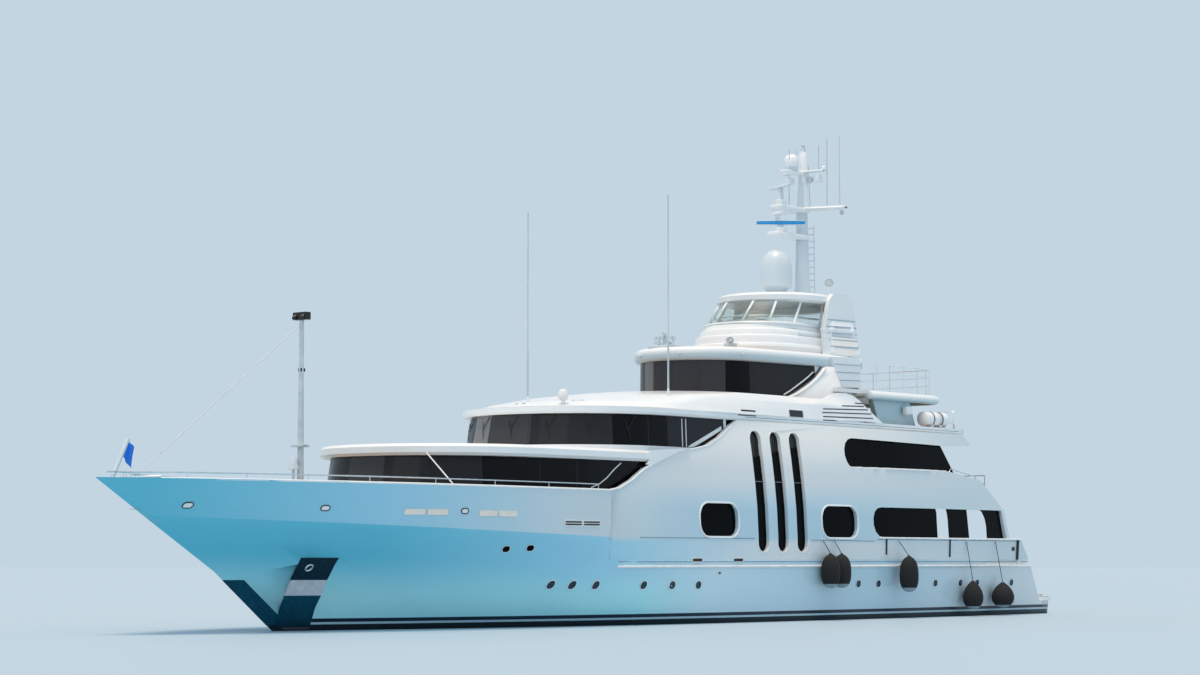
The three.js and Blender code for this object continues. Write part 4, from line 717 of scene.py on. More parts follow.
# Dome light on its post before the bridge, the twin horns, and the feet of two whips
fitting("bridge_lights", WHITE_GLOSS, "white_plastic", [
    ([(0.035, -0.22), (0.035, -0.05), (0.085, -0.03), (0.095, 0), (0.095, 0.09), (0.075, 0.14), (0.03, 0.165),
      (0, 0.17)], (2.73, 0.96, 4.17)),
    *[([(0.06, 0), (0.065, 0.03), (0.07, 0.06), (0.045, 0.1), (0, 0.115)], (2.68, y, 4), 20)
      for y in (-0.26, 0.26)],
    *[([(0.012, -0.12), (0.014, 0), (0.03, 0.1), (0.055, 0.14), (0.045, 0.14), (0, 0.06)], (2.72, y, 4.06),
       16, (1, 0, 0.05)) for y in (-0.09, 0.09)],
    *[([(0.05, 0), (0.05, 0.05), (0.022, 0.09), (0.022, high), (0, high + 0.01)], place, 16)
      for place, high in (((2.65, 0, 4), 0.24), ((0.73, 1.83, 4.12), 0.28))]],
    [((2.6, -0.12, 4), (2.72, 0.12, 4.05))])
rods("bridge_grab_rails", [[(2.5, 0.98, 4), (2.5, 0.98, 4.14), (2.36, 1.14, 4.14), (2.36, 1.14, 4)],
                           [(0.45, 1.86, 4.16), (0.45, 1.86, 4.24), (0.3, 1.88, 4.24), (0.3, 1.88, 4.16)]],
     0.009, STEEL)
FIBRE = finish("whip_fibre", (176, 186, 192), (214, 221, 225), 12, (0.3, 0.45), 0.05, (1, 1, 0.1))
rods("tall_whips", [[(2.65, 0, 4.2), (2.65, 0, 7.7)], [(0.73, 1.83, 4.38), (0.7, 1.81, 8.09)]], 0.012, FIBRE)
rods("whip_sleeves", [[(2.65, 0, 4.2), (2.65, 0, 5.1)], [(0.73, 1.83, 4.38), (0.724, 1.826, 5.3)]], 0.018,
     FIBRE)

# Wheelhouse fins and roof
# A fin sweeps from the roof over the after end of the glass on each side. Its rounded rib is a
# separate moulding, bonded on.
FIN_SIDE = [(-4.62, 5.1), (-4.5, 5), (-4.34, 4.88), (-4.16, 4.77), (-3.94, 4.66), (-3.69, 4.55),
            (-3.43, 4.46), (-3.2, 4.38)]
rods("fin_ribs", both([(x, 1.565, z - 0.03) for x, z in FIN_SIDE]), 0.042, WHITE_GLOSS)
rods("fin_lips", both([(x, 1.47, z + 0.012) for x, z in FIN_SIDE]), 0.014, BLACK_TRIM)
ledge = [(-3.2, -1.36)] + [(-2.6 + 1.32 * c, 1.32 * s) for c, s in arc(range(-86, 87, 4))] + [(-3.2, 1.36)]
rods("wheelhouse_ledges", [[(x, y, z) for x, y in ledge] for z in (4.4, 4.445)], 0.014, WHITE_GLOSS)

# Sun deck: coaming, windshield, arch and hardtop
# The stepped coaming and the arch's two shingled legs are white mouldings. A raked screen of clear
# toughened glass stands on the coaming between white mullions, under the hardtop.
for name in ("sundeck_coaming", "radar_arch"):
    softened(name + "_skin", name, WHITE_GLOSS, "white_paint", sharp=12)
CLEAR_GLASS = finish("clear_glass", (226, 238, 236), (240, 246, 245), 1.4, (0.01, 0.03))
clear = CLEAR_GLASS.node_tree.nodes["Principled BSDF"].inputs
clear["Transmission Weight"].default_value, clear["IOR"].default_value = 0.92, 1.1
softened("screen_glass", "windshield", CLEAR_GLASS, "dark_glass", sharp=40)
# foot and head of each mullion on the port side
MULLIONS = [[(-3.435, 0.34, 6), (-3.84, 0.35, 6.48)], [(-3.76, 0.79, 6), (-4.10, 0.74, 6.48)],
            [(-4.29, 1.03, 6), (-4.61, 0.984, 6.48)], [(-5.18, 1.04, 6), (-5.35, 1, 6.48)]]
rods("screen_mullions", both(*MULLIONS), 0.03, WHITE_GLOSS)
screen = [(-4.4 + c, s) for c, s in arc(range(-90, 91, 6))]
rods("screen_sill", [[(-5.18, -1.05, 6.01)] + [(x + 0.05, y * 1.055, 6.01) for x, y in screen]
                     + [(-5.18, 1.05, 6.01)]],
     0.036, WHITE_GLOSS)
rods("helm_rail", [[(-5.3, -0.9, 6.17)] + [(x * 0.9 - 0.48, y * 0.9, 6.17) for x, y in screen]
                   + [(-5.3, 0.9, 6.17)]],
     0.02, WHITE_GLOSS)

# Lamps on the coaming: two searchlights on a bracket, and a cluster of small floodlights
BEAMS, BEAM_AIM = ((-2.9, 0.5, 5.62), (-3.02, 0.36, 5.62)), (1, 0.5, 0.1)
FLOODS, FLOOD_AIM = ((-1.36, -0.18, 5.6), (-1.44, -0.14, 5.61), (-1.5, -0.11, 5.7), (-1.57, -0.09, 5.62),
                     (-1.36, -0.18, 5.5), (-1.44, -0.14, 5.5), (-1.56, -0.08, 5.53), (-1.7, -0.03, 5.62),
                     (-1.66, -0.05, 5.5)), (1, 0.4, 0)
LENS = finish("lamp_lens", (176, 188, 196), (216, 224, 229), 20, (0.04, 0.12), 0.1, coat=0.6)
fitting("coaming_lamps", PAINTED_SHADE_WHITE, "white_plastic", [
    *[([(0, -0.06), (0.05, -0.05), (0.06, 0), (0.06, 0.06), (0.054, 0.065)], place, 24, BEAM_AIM)
      for place in BEAMS],
    *[([(0, -0.05), (0.04, -0.035), (0.056, 0), (0.056, 0.03), (0.04, 0.034), (0, 0.034)], place, 16,
       FLOOD_AIM)
      for place in FLOODS]], [
    ((-3.06, 0.34, 5.4), (-2.86, 0.54, 5.56)), ((-1.76, -0.36, 5.4), (-1.3, 0.16, 5.45)),
    *[((x - 0.012, y - 0.012, 5.4), (x + 0.012, y + 0.012, z), 0.003) for x, y, z in FLOODS]])
fitting("coaming_lenses", LENS, "dark_glass", [
    *[([(0, 0.058), (0.05, 0.058), (0.05, 0.05)], place, 24, BEAM_AIM) for place in BEAMS],
    *[([(0, 0.037), (0.03, 0.036), (0.03, 0.02)], place, 16, FLOOD_AIM) for place in FLOODS]])
fitting("brow_lights", PAINTED_SHADE_WHITE, "white_plastic", [
    ([(0, -0.02), (0.03, -0.02), (0.03, 0.01), (0.024, 0.022), (0, 0.026)], (x, y, 5.25), 16, (1, y * 0.6, 0))
    for x, y in ((-1.22, 0.5), (-2.2, 1.34), (-2.2, -1.34), (-1.22, -0.5))])

# Helm console and wheel on the sun deck, seen through the screen
fitting("helm_console", PAINTED_SHADE_WHITE, "white_plastic", (), [((-4.15, -0.42, 5.4), (-3.8, 0.42, 6.1), 0.03),
                                                          ((-4.3, -0.36, 6.06), (-3.9, 0.36, 6.14), 0.02)])
fitting("helm_dash", BLACK_TRIM, "dark_glass", (), [((-4.24, -0.3, 6.138), (-3.98, 0.3, 6.15), 0.004)])
fitting("helm_wheel", BLACK_TRIM, "fender_rubber", [
    ([(0.15, -0.012), (0.162, 0), (0.15, 0.012), (0.138, 0), (0.15, -0.012)], (-4.36, 0, 6), 24,
     (-1, 0, 0.4))])
rods("helm_spokes", [[(-4.28, 0, 5.97), (-4.36, 0, 6)]] + [
    [(-4.36, 0, 6), (-4.36 - 0.056 * s, 0.15 * c, 6 - 0.138 * s)] for c, s in arc((90, 210, 330))], 0.009,
     STEEL)

# Panels over the arch's feet, with the open joints between their parts:
# x and z of each plate's corners, its outer y and its depth
PLATES = [([(-4.838, 5.33), (-4.974, 5.029), (-5.18, 4.711), (-5.889, 4.745), (-5.827, 5.386)], 1.6, 0.16),
          ([(-5.2, 6.55), (-5.33, 6.69), (-5.86, 6.7), (-5.97, 6.64), (-6, 6.58), (-6.15, 6.04), (-6.19, 5.5),
            (-5.02, 5.44), (-5.03, 5.97)], 1.29, 0.1)]
panels = bmesh.new()
for sign in (1, -1):
    for corners, y, deep in PLATES:
        plate(panels, [(x, y * sign, z) for x, z in corners], -deep * sign)
show("arch_panels", panels.copy(), WHITE_GLOSS, "white_paint", sharp=20)
for node in ("radar_arch", "sundeck_coaming"):
    panels.from_mesh(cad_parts[node].data)
# z, x of the fore and after ends of each open joint
JOINTS = [(4.87, -5.1, -5.84), (5.03, -5, -5.84), (5.19, -4.92, -5.82), (5.58, -5.06, -6.16),
          (5.72, -5.06, -6.15), (5.86, -5.06, -6.14), (6, -5.07, -6.12), (6.14, -5.12, -6.09)]
# The joints' grey-blue lines are painted shade in the open joint under each shingled step
LOUVRE_PAINTED_SHADE = finish("louvre_painted_shade", (150, 176, 192), (172, 196, 209), 5, (0.3, 0.45), 0.03)
rods("arch_joints", runs([(fore, z, aft, z + 0.02) for z, fore, aft in JOINTS], 0.002, 8, tree_of(panels)),
     0.012, LOUVRE_PAINTED_SHADE, round_=1)

# Mast, scanners and domes
# A tapered aluminium mast with platforms and swept wings. It carries two open-array scanners, two
# moulded radomes, a searchlight and whip aerials.
softened("mast_skin", "mast", PAINTED_SHADE_WHITE, "white_paint", sharp=30)
fitting("large_radome", PAINTED_SHADE_WHITE, "white_plastic", [
    ([(0, 0), (0.25, 0), (0.25, 0.03), (0.21, 0.05), (0.2, 0.1), (0.25, 0.16), (0.33, 0.21), (0.342, 0.225),
      (0.342, 0.25), (0.332, 0.256), (0.338, 0.4), (0.336, 0.56), (0.322, 0.68), (0.29, 0.79), (0.24, 0.88),
      (0.17, 0.95), (0.09, 0.992), (0, 1.005)], (-5.08, 0, 6.681), 48)], sharp=50, instead=["satellite_dome"])
fitting("radome_plinth", PAINTED_SHADE_WHITE, "white_paint", [
    ([(0.5, -0.01), (0.5, 0.03), (0.47, 0.05), (0.26, 0.055), (0, 0.055)], (-5.08, 0, 6.655), 40)])
SCANNER_BLUE = finish("scanner_blue", (0, 138, 206), (12, 160, 226), 5, (0.22, 0.34), 0.02, coat=0.3)
# node, z of its foot, half-length and height of the bar, angle, paint of the bar's face: an open-array
# scanner, with its turning boss
for name, z, half, high, angle, face in (("radar_scanner_lower", 8.18, 0.52, 0.09, 41, SCANNER_BLUE),
                                         ("radar_scanner_upper", 8.96, 0.4, 0.07, -25, WHITE_GLOSS)):
    turn = Matrix.Translation((-5.25, 0, 0)) @ Matrix.Rotation(math.radians(angle), 4, "Z")
    bar, front = bmesh.new(), bmesh.new()
    lathe(bar, [(0, 0), (0.058, 0), (0.058, 0.03), (0.04, 0.045)], (0, 0, z + 0.0006))
    brick(bar, (-0.052, -half, z + 0.04), (0.05, half, z + 0.04 + high), 0.024)
    for x in (0.046, -0.055):
        brick(front, (x, -half + 0.012, z + 0.05), (x + 0.009, half - 0.012, z + 0.03 + high), 0.004)
    for form in (bar, front):
        bmesh.ops.transform(form, matrix=turn, verts=form.verts)
    show(name + "_bar", bar, PAINTED_SHADE_WHITE, "white_plastic", name, 40, instead=[name])
    show(name + "_face", front, face, "white_plastic", name)


def wing(form, rows):
    """Adds a rounded wing through oval rings, from rows of (x, y, z, half-chord, half-thickness)."""
    oval = arc(22.5 * k for k in range(16))
    rings = [[form.verts.new((x + a * c, y, z + b * s)) for c, s in oval] for x, y, z, a, b in rows]
    for one, two in zip(rings, rings[1:]):
        for k in range(16):
            form.faces.new((one[k], one[(k + 1) % 16], two[(k + 1) % 16], two[k]))
    form.faces.new(rings[0])
    form.faces.new(rings[-1])


gear = bmesh.new()
for z, half, sweep, a, b in ((8.62, 0.95, 0.28, 0.16, 0.055), (9.42, 0.54, 0.06, 0.09, 0.028)):
    wing(gear, [(-6 - sweep * abs(y), y * half, z, a * (1 - 0.35 * abs(y)) * end,
                 b * (1 - 0.3 * abs(y)) * end)
                for y, end in ((-1, 0.4), (-0.97, 1), (-0.5, 1), (0, 1), (0.5, 1), (0.97, 1),
                               (1, 0.4))])
# the platforms, the head of the mast, the scanners' feet and the small dome; then the searchlight aft
# on the hardtop, the lamps under the yards and the boxes under the shelf
BEAM = (-6.16, 0.58, 7.03), 24, (0.8, 0.6, -0.1)
YARD_LAMPS = [((-6.28, 0.84 * sign, 8.52), 20, (0.8, 0.6 * sign, -0.2)) for sign in (1, -1)]
for row in [([(0, 8.6), (0.12, 8.6), (0.1, 9.4), (0.088, 9.8), (0.06, 9.86), (0, 9.87)], (-6.05, 0, 0), 20),
            *[([(0.1, 0), (0.115, 0.02), (0.128, 0.06), (0.12, 0.1), (0.07, 0.114)], (-5.25, 0, z), 28)
              for z in (8.062, 8.645)],
            ([(0, 0), (0.1, 0), (0.1, 0.02), (0.085, 0.05), (0.15, 0.085), (0.158, 0.1), (0.158, 0.2),
              (0.15, 0.26), (0.12, 0.315), (0.07, 0.35), (0, 0.362)], (-5.64, 0, 9.408), 32),
            ([(0.04, 0), (0.03, 0.03), (0.03, 0.3), (0.05, 0.32)], (-6.16, 0.58, 6.62), 20),
            ([(0, -0.1), (0.07, -0.09), (0.1, -0.03), (0.1, 0.08), (0.09, 0.085)], *BEAM),
            *[([(0, -0.05), (0.045, -0.04), (0.05, 0.04), (0.045, 0.045)], *lamp) for lamp in YARD_LAMPS],
            ([(0.05, 0), (0.05, 0.07), (0.02, 0.1), (0, 0.1)], (-6.15, 0.47, 9.43), 16)]:
    lathe(gear, *row)
for row in (((-6.1, -0.15, 7.95), (-4.96, 0.15, 8.068), 0.04), ((-6.1, -0.15, 8.53), (-5.06, 0.15, 8.648),
                                                                0.04),
            ((-6.1, -0.1, 9.345), (-5.35, 0.1, 9.416), 0.02), ((-6.15, 0.3, 9.17), (-6, 0.44, 9.34), 0.015),
            ((-6.16, -0.42, 9.2), (-6, -0.3, 9.34), 0.015), ((-6.14, -0.04, 9.8), (-5.98, 0.04, 9.87),
                                                             0.015)):
    brick(gear, *row)
show("mast_gear", gear, WHITE_GLOSS, "white_plastic", sharp=40)
fitting("mast_lenses", LENS, "dark_glass", [
    ([(0, 0.08), (0.085, 0.08), (0.085, 0.07)], *BEAM),
    *[([(0, 0.04), (0.04, 0.04), (0.04, 0.03)], *lamp) for lamp in YARD_LAMPS],
    ([(0, -0.1), (0.05, -0.09), (0.075, 0), (0.05, 0.09), (0, 0.1)], (-6.08, 0.17, 9.25), 20, (0.6, 0.8, 0)),
    ([(0.045, 0), (0.05, 0.06), (0.03, 0.12), (0.045, 0.15), (0, 0.17)], (-6.06, 0, 9.85), 16)], sharp=40)
# x, y, z of the foot, z of the tip
aerials = [[(x, y, z), (x, y, tip)] for x, y, z, tip in [
    (-6.2, 0.52, 8.64, 10.12), (-6.26, 0.8, 8.63, 10.14), (-5.5, 0.05, 9.41, 9.84), (-5.86, -0.03, 9.41, 9.9),
    (-6.12, 0.36, 9.44, 9.98), (-6.22, -0.5, 8.64, 9.9)]]
rods("mast_aerials", aerials, 0.009, FIBRE, round_=1)
rods("aerial_sleeves", [[path[0], Vector(path[0]).lerp(Vector(path[1]), 0.3)] for path in aerials], 0.013,
     FIBRE)
rods("mast_ladder", [[(-6.32, y, 6.7), (-6.3, y, 8.3)] for y in (-0.09, 0.09)] + [
    [(-6.318, y, 6.85 + 0.14 * k) for y in (-0.09, 0.09)] for k in range(11)]
     + [[(-6.3, 0, 8.66), (-6.24, 0, 9.6)]], 0.011, PAINTED_SHADE_WHITE, round_=1)

# Sun terrace, its rail, and the life rafts
# The terrace is a moulded deck on two fins, with a rail of polished tube on braced stanchions. The
# life rafts lie under it, in two-piece canisters on cradles, held by webbing straps.
BRIGHT_STEEL = finish("bright_steel", (222, 229, 233), (242, 246, 248), 9, (0.2, 0.32), 0.05, (1, 1, 0.3),
                      metallic=0.5)


def dressed(node, material):
    """Gives a CAD node, which stays as it is, its finish."""
    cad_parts[node].data.materials.clear()
    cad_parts[node].data.materials.append(material)


dressed("terrace_rail", BRIGHT_STEEL)
dressed("bow_rail", STEEL)
rods("terrace_braces", both(
    [(-6.84, 1.64, 4.7), (-6.84, 1.64, 5.25)], [(-7.87, 1.64, 4.7), (-7.87, 1.64, 5.25)],
    [(-8.7, 1.78, 3.95), (-8.7, 1.78, 4.15), (-9.3, 1.62, 4.12), (-9.3, 1.62, 3.95)],
    [(-9.3, 1.6, 4), (-9.3, 1.6, 4.4), (-9.42, 1.1, 4.4), (-9.42, 1.1, 4)]), 0.011, BRIGHT_STEEL,
     round_=1)
edge = [(x, y, 4.602) for x, y in [(-5.95, 1.715), (-8.33, 1.715), (-8.42, 1.7), (-8.51, 1.665),
                                   (-8.58, 1.615), (-8.63, 1.54), (-8.665, 1.46), (-8.675, 1.37)]]
rods("terrace_edge", [edge + [(x, -y, z) for x, y, z in reversed(edge)]], 0.092, TERRACE_PAINTED_SHADE,
     round_=4)
GREY_WEB = finish("grey_webbing", (60, 66, 72), (84, 90, 96), 60, (0.6, 0.8), 0.3, (1, 1, 3))
CANISTER = [(0, 0), (0.13, 0.005), (0.158, 0.03), (0.162, 0.07), (0.152, 0.09), (0.162, 0.11), (0.152, 0.13),
            (0.162, 0.15), (0.152, 0.17), (0.157, 0.19), (0.157, 0.37), (0.165, 0.38), (0.165, 0.44),
            (0.157, 0.45), (0.157, 0.66), (0.152, 0.68), (0.162, 0.7), (0.152, 0.72), (0.162, 0.74),
            (0.158, 0.79), (0.13, 0.82), (0, 0.825)]
for side, sign in (("port", 1), ("starboard", -1)):
    aft = (-1, -0.014 * sign, 0)
    fitting("raft_canister_" + side, WHITE_GLOSS, "white_plastic",
            [(CANISTER, (-7.86, 1.765 * sign, 4.18), 32, aft)], [
        *[((x - 0.04, 1.65 * sign, 4), (x + 0.04, 1.87 * sign, 4.06)) for x in (-8.1, -8.42)],
        ((-7.5, 1.64 * sign, 4.25), (-7.3, 1.75 * sign, 4.42), 0.012)], sharp=40,
            instead=["life_raft_" + side])
    fitting("raft_straps_" + side, GREY_WEB, "fender_rubber", [
        ([(0.1585, -0.02), (0.161, -0.018), (0.161, 0.018), (0.1585, 0.02)], (x, 1.762 * sign, 4.18), 32, aft)
        for x in (-8.1, -8.42)])

# Decks: laid teak
# Narrow scrubbed teak planks, bonded to every open deck and tread, with black caulking between
# them and a white margin left along the edges.
PLANK, SEAM = 0.028, 0.09  # a plank's breadth, and the caulking's share of it


def teak_planks():
    """Planks along the ship, each a little different, with grain and dark caulking."""
    material = finish("teak_planks", (176, 140, 102), (202, 168, 128), 26, (0.55, 0.75), 0.2, (0.12, 1, 1))
    across = reckon(material, "DIVIDE", axis(material, "Y"), PLANK)
    number = reckon(material, "FLOOR", across)
    tint = wire(material, "TexWhiteNoise", {"noise_dimensions": "1D"}, W=number).outputs["Value"]
    shade = ramp(material, tint, [(0, (0.8, 0.78, 0.76, 1)), (1, PLAIN)])
    wood = mixed(material, 1, own(material), shade, "MULTIPLY")
    caulked = reckon(material, "LESS_THAN", reckon(material, "FRACT", across), SEAM)
    return coloured(material, mixed(material, caulked, wood, tone(38, 34, 32)))


TEAK = teak_planks()


def laid_deck(name, nodes, levels, margin, body="yacht"):
    """Teak on the nodes' level faces at the given heights, inside a margin."""
    form = cad(*nodes.split())
    bmesh.ops.remove_doubles(form, verts=form.verts, dist=SAME)
    form.normal_update()
    rest = [f for f in form.faces if f.normal.z < 0.999 or not any(abs(f.calc_center_median().z - z) < 0.003
                                                                  for z in levels)]
    bmesh.ops.delete(form, geom=rest, context="FACES")
    bmesh.ops.dissolve_limit(form, angle_limit=math.radians(1), verts=form.verts, edges=form.edges)
    bmesh.ops.inset_region(form, faces=form.faces[:], thickness=margin, use_boundary=True,
                           use_even_offset=True)
    outer = [f for f in form.faces if any(e.is_boundary for e in f.edges)]
    bmesh.ops.delete(form, geom=outer, context="FACES")
    thicken(form, form.faces[:], (0, 0, 0.006))
    bmesh.ops.triangulate(form, faces=form.faces)
    show(name, form, TEAK, "teak", body)


for row in (("main_deck_teak", "hull stern", [1.2], 0.05),
            ("stair_teak", "stern", [0.37, 0.5775, 0.785, 0.9925], 0.02),
            ("foredeck_teak", "hull", [2], 0.06), ("bridge_deck_teak", "bridge_deck", [4], 0.05),
            ("terrace_teak", "sun_terrace", [4.7], 0.08), ("platform_teak", "swim_platform", [0.37], 0.05),
            ("sun_deck_teak", "wheelhouse_roof", [5.4], 0.06), ("upper_deck_teak", "upper_deck", [2.6],
                                                                0.05)):
    laid_deck(*row)
dressed("upper_deck", PAINTED_SHADE_WHITE)
dressed("swim_platform", WHITE_GLOSS)

# Bulkheads' doors and the after decks' furniture
# Frameless glass doors slide on a rail over each after deck, with steel edges and pull bars. Settees
# with loose cushions face them, on white moulded bases.
for body in ("saloon_door_port", "saloon_door_starboard", "upper_door_port", "upper_door_starboard"):
    softened(body + "_leaf", body, DARK_GLASS, "dark_glass", body=body, sharp=30)
    (x, y0, z0), (_, y1, z1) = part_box(body)
    edge = [(x - 0.002, y, z) for y, z in ((y0 + 0.02, z0 + 0.02), (y1 - 0.02, z0 + 0.02),
                                           (y1 - 0.02, z1 - 0.06), (y0 + 0.02, z1 - 0.06))]
    rods(body + "_frame", [edge], 0.009, STEEL, body=body, closed=True, round_=1)
    pull, mid = y0 + 0.06 if y0 > -0.1 else y1 - 0.06, (z0 + z1) / 2
    rods(body + "_pull", [[(x + out, pull, mid + rise) for out, rise in
                           ((0.002, -0.12), (-0.022, -0.12), (-0.022, 0.12), (0.002, 0.12))]], 0.008, STEEL,
         body=body)
softened("bridge_door_leaf", "bridge_door", WHITE_GLOSS, "white_paint", body="bridge_door", sharp=30)
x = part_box("bridge_door")[0][0]
fitting("bridge_door_light", DARK_GLASS, "dark_glass", (),
        [((x + 0.002, 0.04, 4.45), (x + 0.012, 0.36, 4.9), 0.004)], body="bridge_door")
rods("bridge_door_pull", [[(-5.66, 0.02, 4.36), (-5.7, 0.02, 4.36), (-5.7, 0.1, 4.36)]], 0.008, STEEL,
     body="bridge_door")
CANVAS = finish("seat_canvas", (214, 210, 200), (232, 229, 220), 180, (0.75, 0.9), 0.35)


def cushion(name, low, high, crown=0.03):
    """A loose cushion, crowned on top, with its sides pulled in between its corners."""
    low, high = Vector(low), Vector(high)
    size, mid = high - low, (low + high) / 2
    form = bmesh.new()
    bmesh.ops.create_cube(form, size=2)
    bmesh.ops.subdivide_edges(form, edges=form.edges[:], cuts=9, use_grid_fill=True)
    for vert in form.verts:
        u, v, w = vert.co
        round_u, round_v = (1 - 0.10 * t ** 4 - 0.04 * (1 - abs(t)) ** 2 for t in (v, u))
        height = w * (1 - 0.45 * max(abs(u), abs(v)) ** 8)
        if w > 0:
            height += 2 * crown / size.z * (1 - u ** 4) * (1 - v ** 4) * w
        vert.co = mid + Vector((u * round_u * size.x / 2, v * round_v * size.y / 2,
                                min(height, 1.6) * size.z / 2))
    bmesh.ops.smooth_vert(form, verts=form.verts, factor=0.5, use_axis_x=True, use_axis_y=True,
                          use_axis_z=True)
    show(name, form, CANVAS, "flag_cloth", sharp=80)


# x fore and aft, half-breadth, z of the deck
for deck, fore, aft, half, z in (("main", -9.45, -10.05, 1.25, 1.206), ("upper", -9, -9.55, 1.2, 2.606)):
    fitting(deck + "_settee", PAINTED_SHADE_WHITE, "white_plastic", (), [
        ((aft, -half, z), (fore, half, z + 0.14), 0.02), ((aft - 0.1, -half, z), (aft, half, z + 0.38),
                                                          0.02)])
    wide = (2 * half - 0.02) / 3
    for k in range(3):
        y0 = -half + 0.01 + wide * k
        y1 = y0 + wide - 0.012
        cushion(f"{deck}_seat_{k}", (aft + 0.12, y0, z + 0.142), (fore - 0.005, y1, z + 0.23))
        cushion(f"{deck}_back_{k}", (aft + 0.005, y0, z + 0.16), (aft + 0.11, y1, z + 0.42), 0.012)
    fitting(deck + "_table_foot", STEEL, "stainless", [
        ([(0, 0), (0.12, 0), (0.12, 0.012), (0.03, 0.03), (0.025, 0.3), (0.05, 0.315), (0, 0.32)],
         (fore + 0.6, 0, z), 28)])
    fitting(deck + "_table_top", TEAK, "teak", (),
            [((fore + 0.25, -0.55, z + 0.32), (fore + 0.95, 0.55, z + 0.345),
              0.01)])

# Guard rails across the after decks, and hand rails of the stern stairs
guards = both([(-10.85, 1.83, 1.2), (-10.85, 1.83, 1.66), (-12.05, 1.83, 0.88), (-12.05, 1.83, 0.39)],
              [(-8.35, 2.1, 3.04), (-8.4, 2.1, 3.12), (-9.4, 2.06, 2.98), (-9.5, 2.06, 2.88)])
# x, z of the deck, of the lower rail and of the upper one, half-breadth, count of spaces
for x, z, low, high, half, count in ((-10.02, 2.6, 2.84, 3.02, 1.92, 6), (-11.38, 1.2, 1.42, 1.6, 1.3, 4)):
    guards += [[(x, -half, level), (x, half, level)] for level in (low, high)]
    guards += [[(x, half * (2 * k / count - 1), z), (x, half * (2 * k / count - 1), high)]
               for k in range(count + 1)]
rods("after_guard_rails", guards, 0.012, STEEL, round_=1)

# Foredeck: mast, jackstaff, flag and ground tackle
# A light tubular foremast with its black lamp head and a wire stay, a bare staff with a plain blue
# flag in the nose, and a galvanised windlass with bollards and hatches round it.
ENAMEL = finish("foremast_enamel", (186, 200, 208), (216, 224, 228), 8, (0.25, 0.4), 0.03)
coloured(ENAMEL, mixed(ENAMEL, reckon(ENAMEL, "GREATER_THAN", axis(ENAMEL, "Z"), 5.286), own(ENAMEL),
                       tone(14, 16, 18)))
softened("foremast_skin", "foremast", ENAMEL, "white_paint", sharp=40)
softened("jackstaff_skin", "jackstaff", PAINTED_SHADE_WHITE, "stainless", sharp=40)
rods("jackstaff_sleeve", [[(12.44, 0, 2.53), (12.15, 0, 3.12)]], 0.036, PAINTED_SHADE_WHITE)
fitting("foremast_lamps", BLACK_TRIM, "white_plastic", [
    ([(0, -0.05), (0.045, -0.05), (0.05, 0), (0.03, 0.04), (0, 0.045)], (8.47, y, 5.33), 20, (1, 0, -0.5))
    for y in (-0.1, 0.1)], [((8.34, -0.04, 4.4), (8.44, 0.04, 4.46))])
fitting("foremast_light", PAINTED_SHADE_WHITE, "white_plastic", [
    ([(0, 0), (0.1, 0), (0.095, 0.03), (0.07, 0.1), (0.055, 0.18), (0.03, 0.22), (0, 0.23)], (8.56, 0, 2.72)),
    ([(0.025, -0.72), (0.025, 0)], (8.56, 0, 2.72), 12),
    ([(0.13, 0), (0.13, 0.012), (0.1, 0.02), (0.06, 0.022)], (8.4, 0, 3.14))])

CLOTH = finish("flag_cloth", (20, 104, 214), (44, 132, 238), 40, (0.75, 0.9), 0.15, (1, 1, 4))
flag = bmesh.new()
bmesh.ops.create_grid(flag, x_segments=16, y_segments=16, size=0.5)
for vert in flag.verts:
    u, v = vert.co.x + 0.5, vert.co.y + 0.5
    hoist = Vector((12.262, 0, 2.865)).lerp(Vector((12.135, 0, 3.1)), v)
    fly = Vector((12.085, 0, 2.655)).lerp(Vector((12.005, 0, 3)), v)
    wave = Vector((0, 0.016 * math.sin(9 * u + 2.5 * v) * min(1, 3 * u), -0.012 * math.sin(math.pi * u)))
    vert.co = hoist.lerp(fly, u) + wave
bmesh.ops.recalc_face_normals(flag, faces=flag.faces)
bmesh.ops.solidify(flag, geom=flag.faces[:], thickness=0.0015)
flag_area = sum(f.calc_area() for f in flag.faces) / 2
piece = show("blue_flag", flag, CLOTH, "flag_cloth", sharp=70, instead=["flag"])

GALVANISED = finish("galvanised_iron", (96, 108, 114), (136, 146, 150), 30, (0.4, 0.6), 0.15, metallic=0.8)
softened("windlass_skin", "windlass", GALVANISED, "stainless", sharp=30)
fitting("mooring_bollards", STEEL, "stainless", [
    ([(0.05, 0), (0.04, 0.03), (0.038, 0.13), (0.052, 0.15), (0.052, 0.17), (0, 0.18)], (x, y, 2.03), 20)
    for y in (0.75, -0.75) for x in (10, 9.7)],
    [((9.6, 0.67 * sign, 2), (10.1, 0.83 * sign, 2.035), 0.01) for sign in (1, -1)])
fitting("foredeck_hatches", WHITE_GLOSS, "white_plastic", (), [
    block for x, half in ((9.15, 0.3), (11.3, 0.16))
    for block in (((x - 0.3, -half, 2), (x + 0.3, half, 2.05), 0.02),
                  ((x - 0.26, -half + 0.04, 2.045), (x + 0.26, half - 0.04, 2.065), 0.008))])

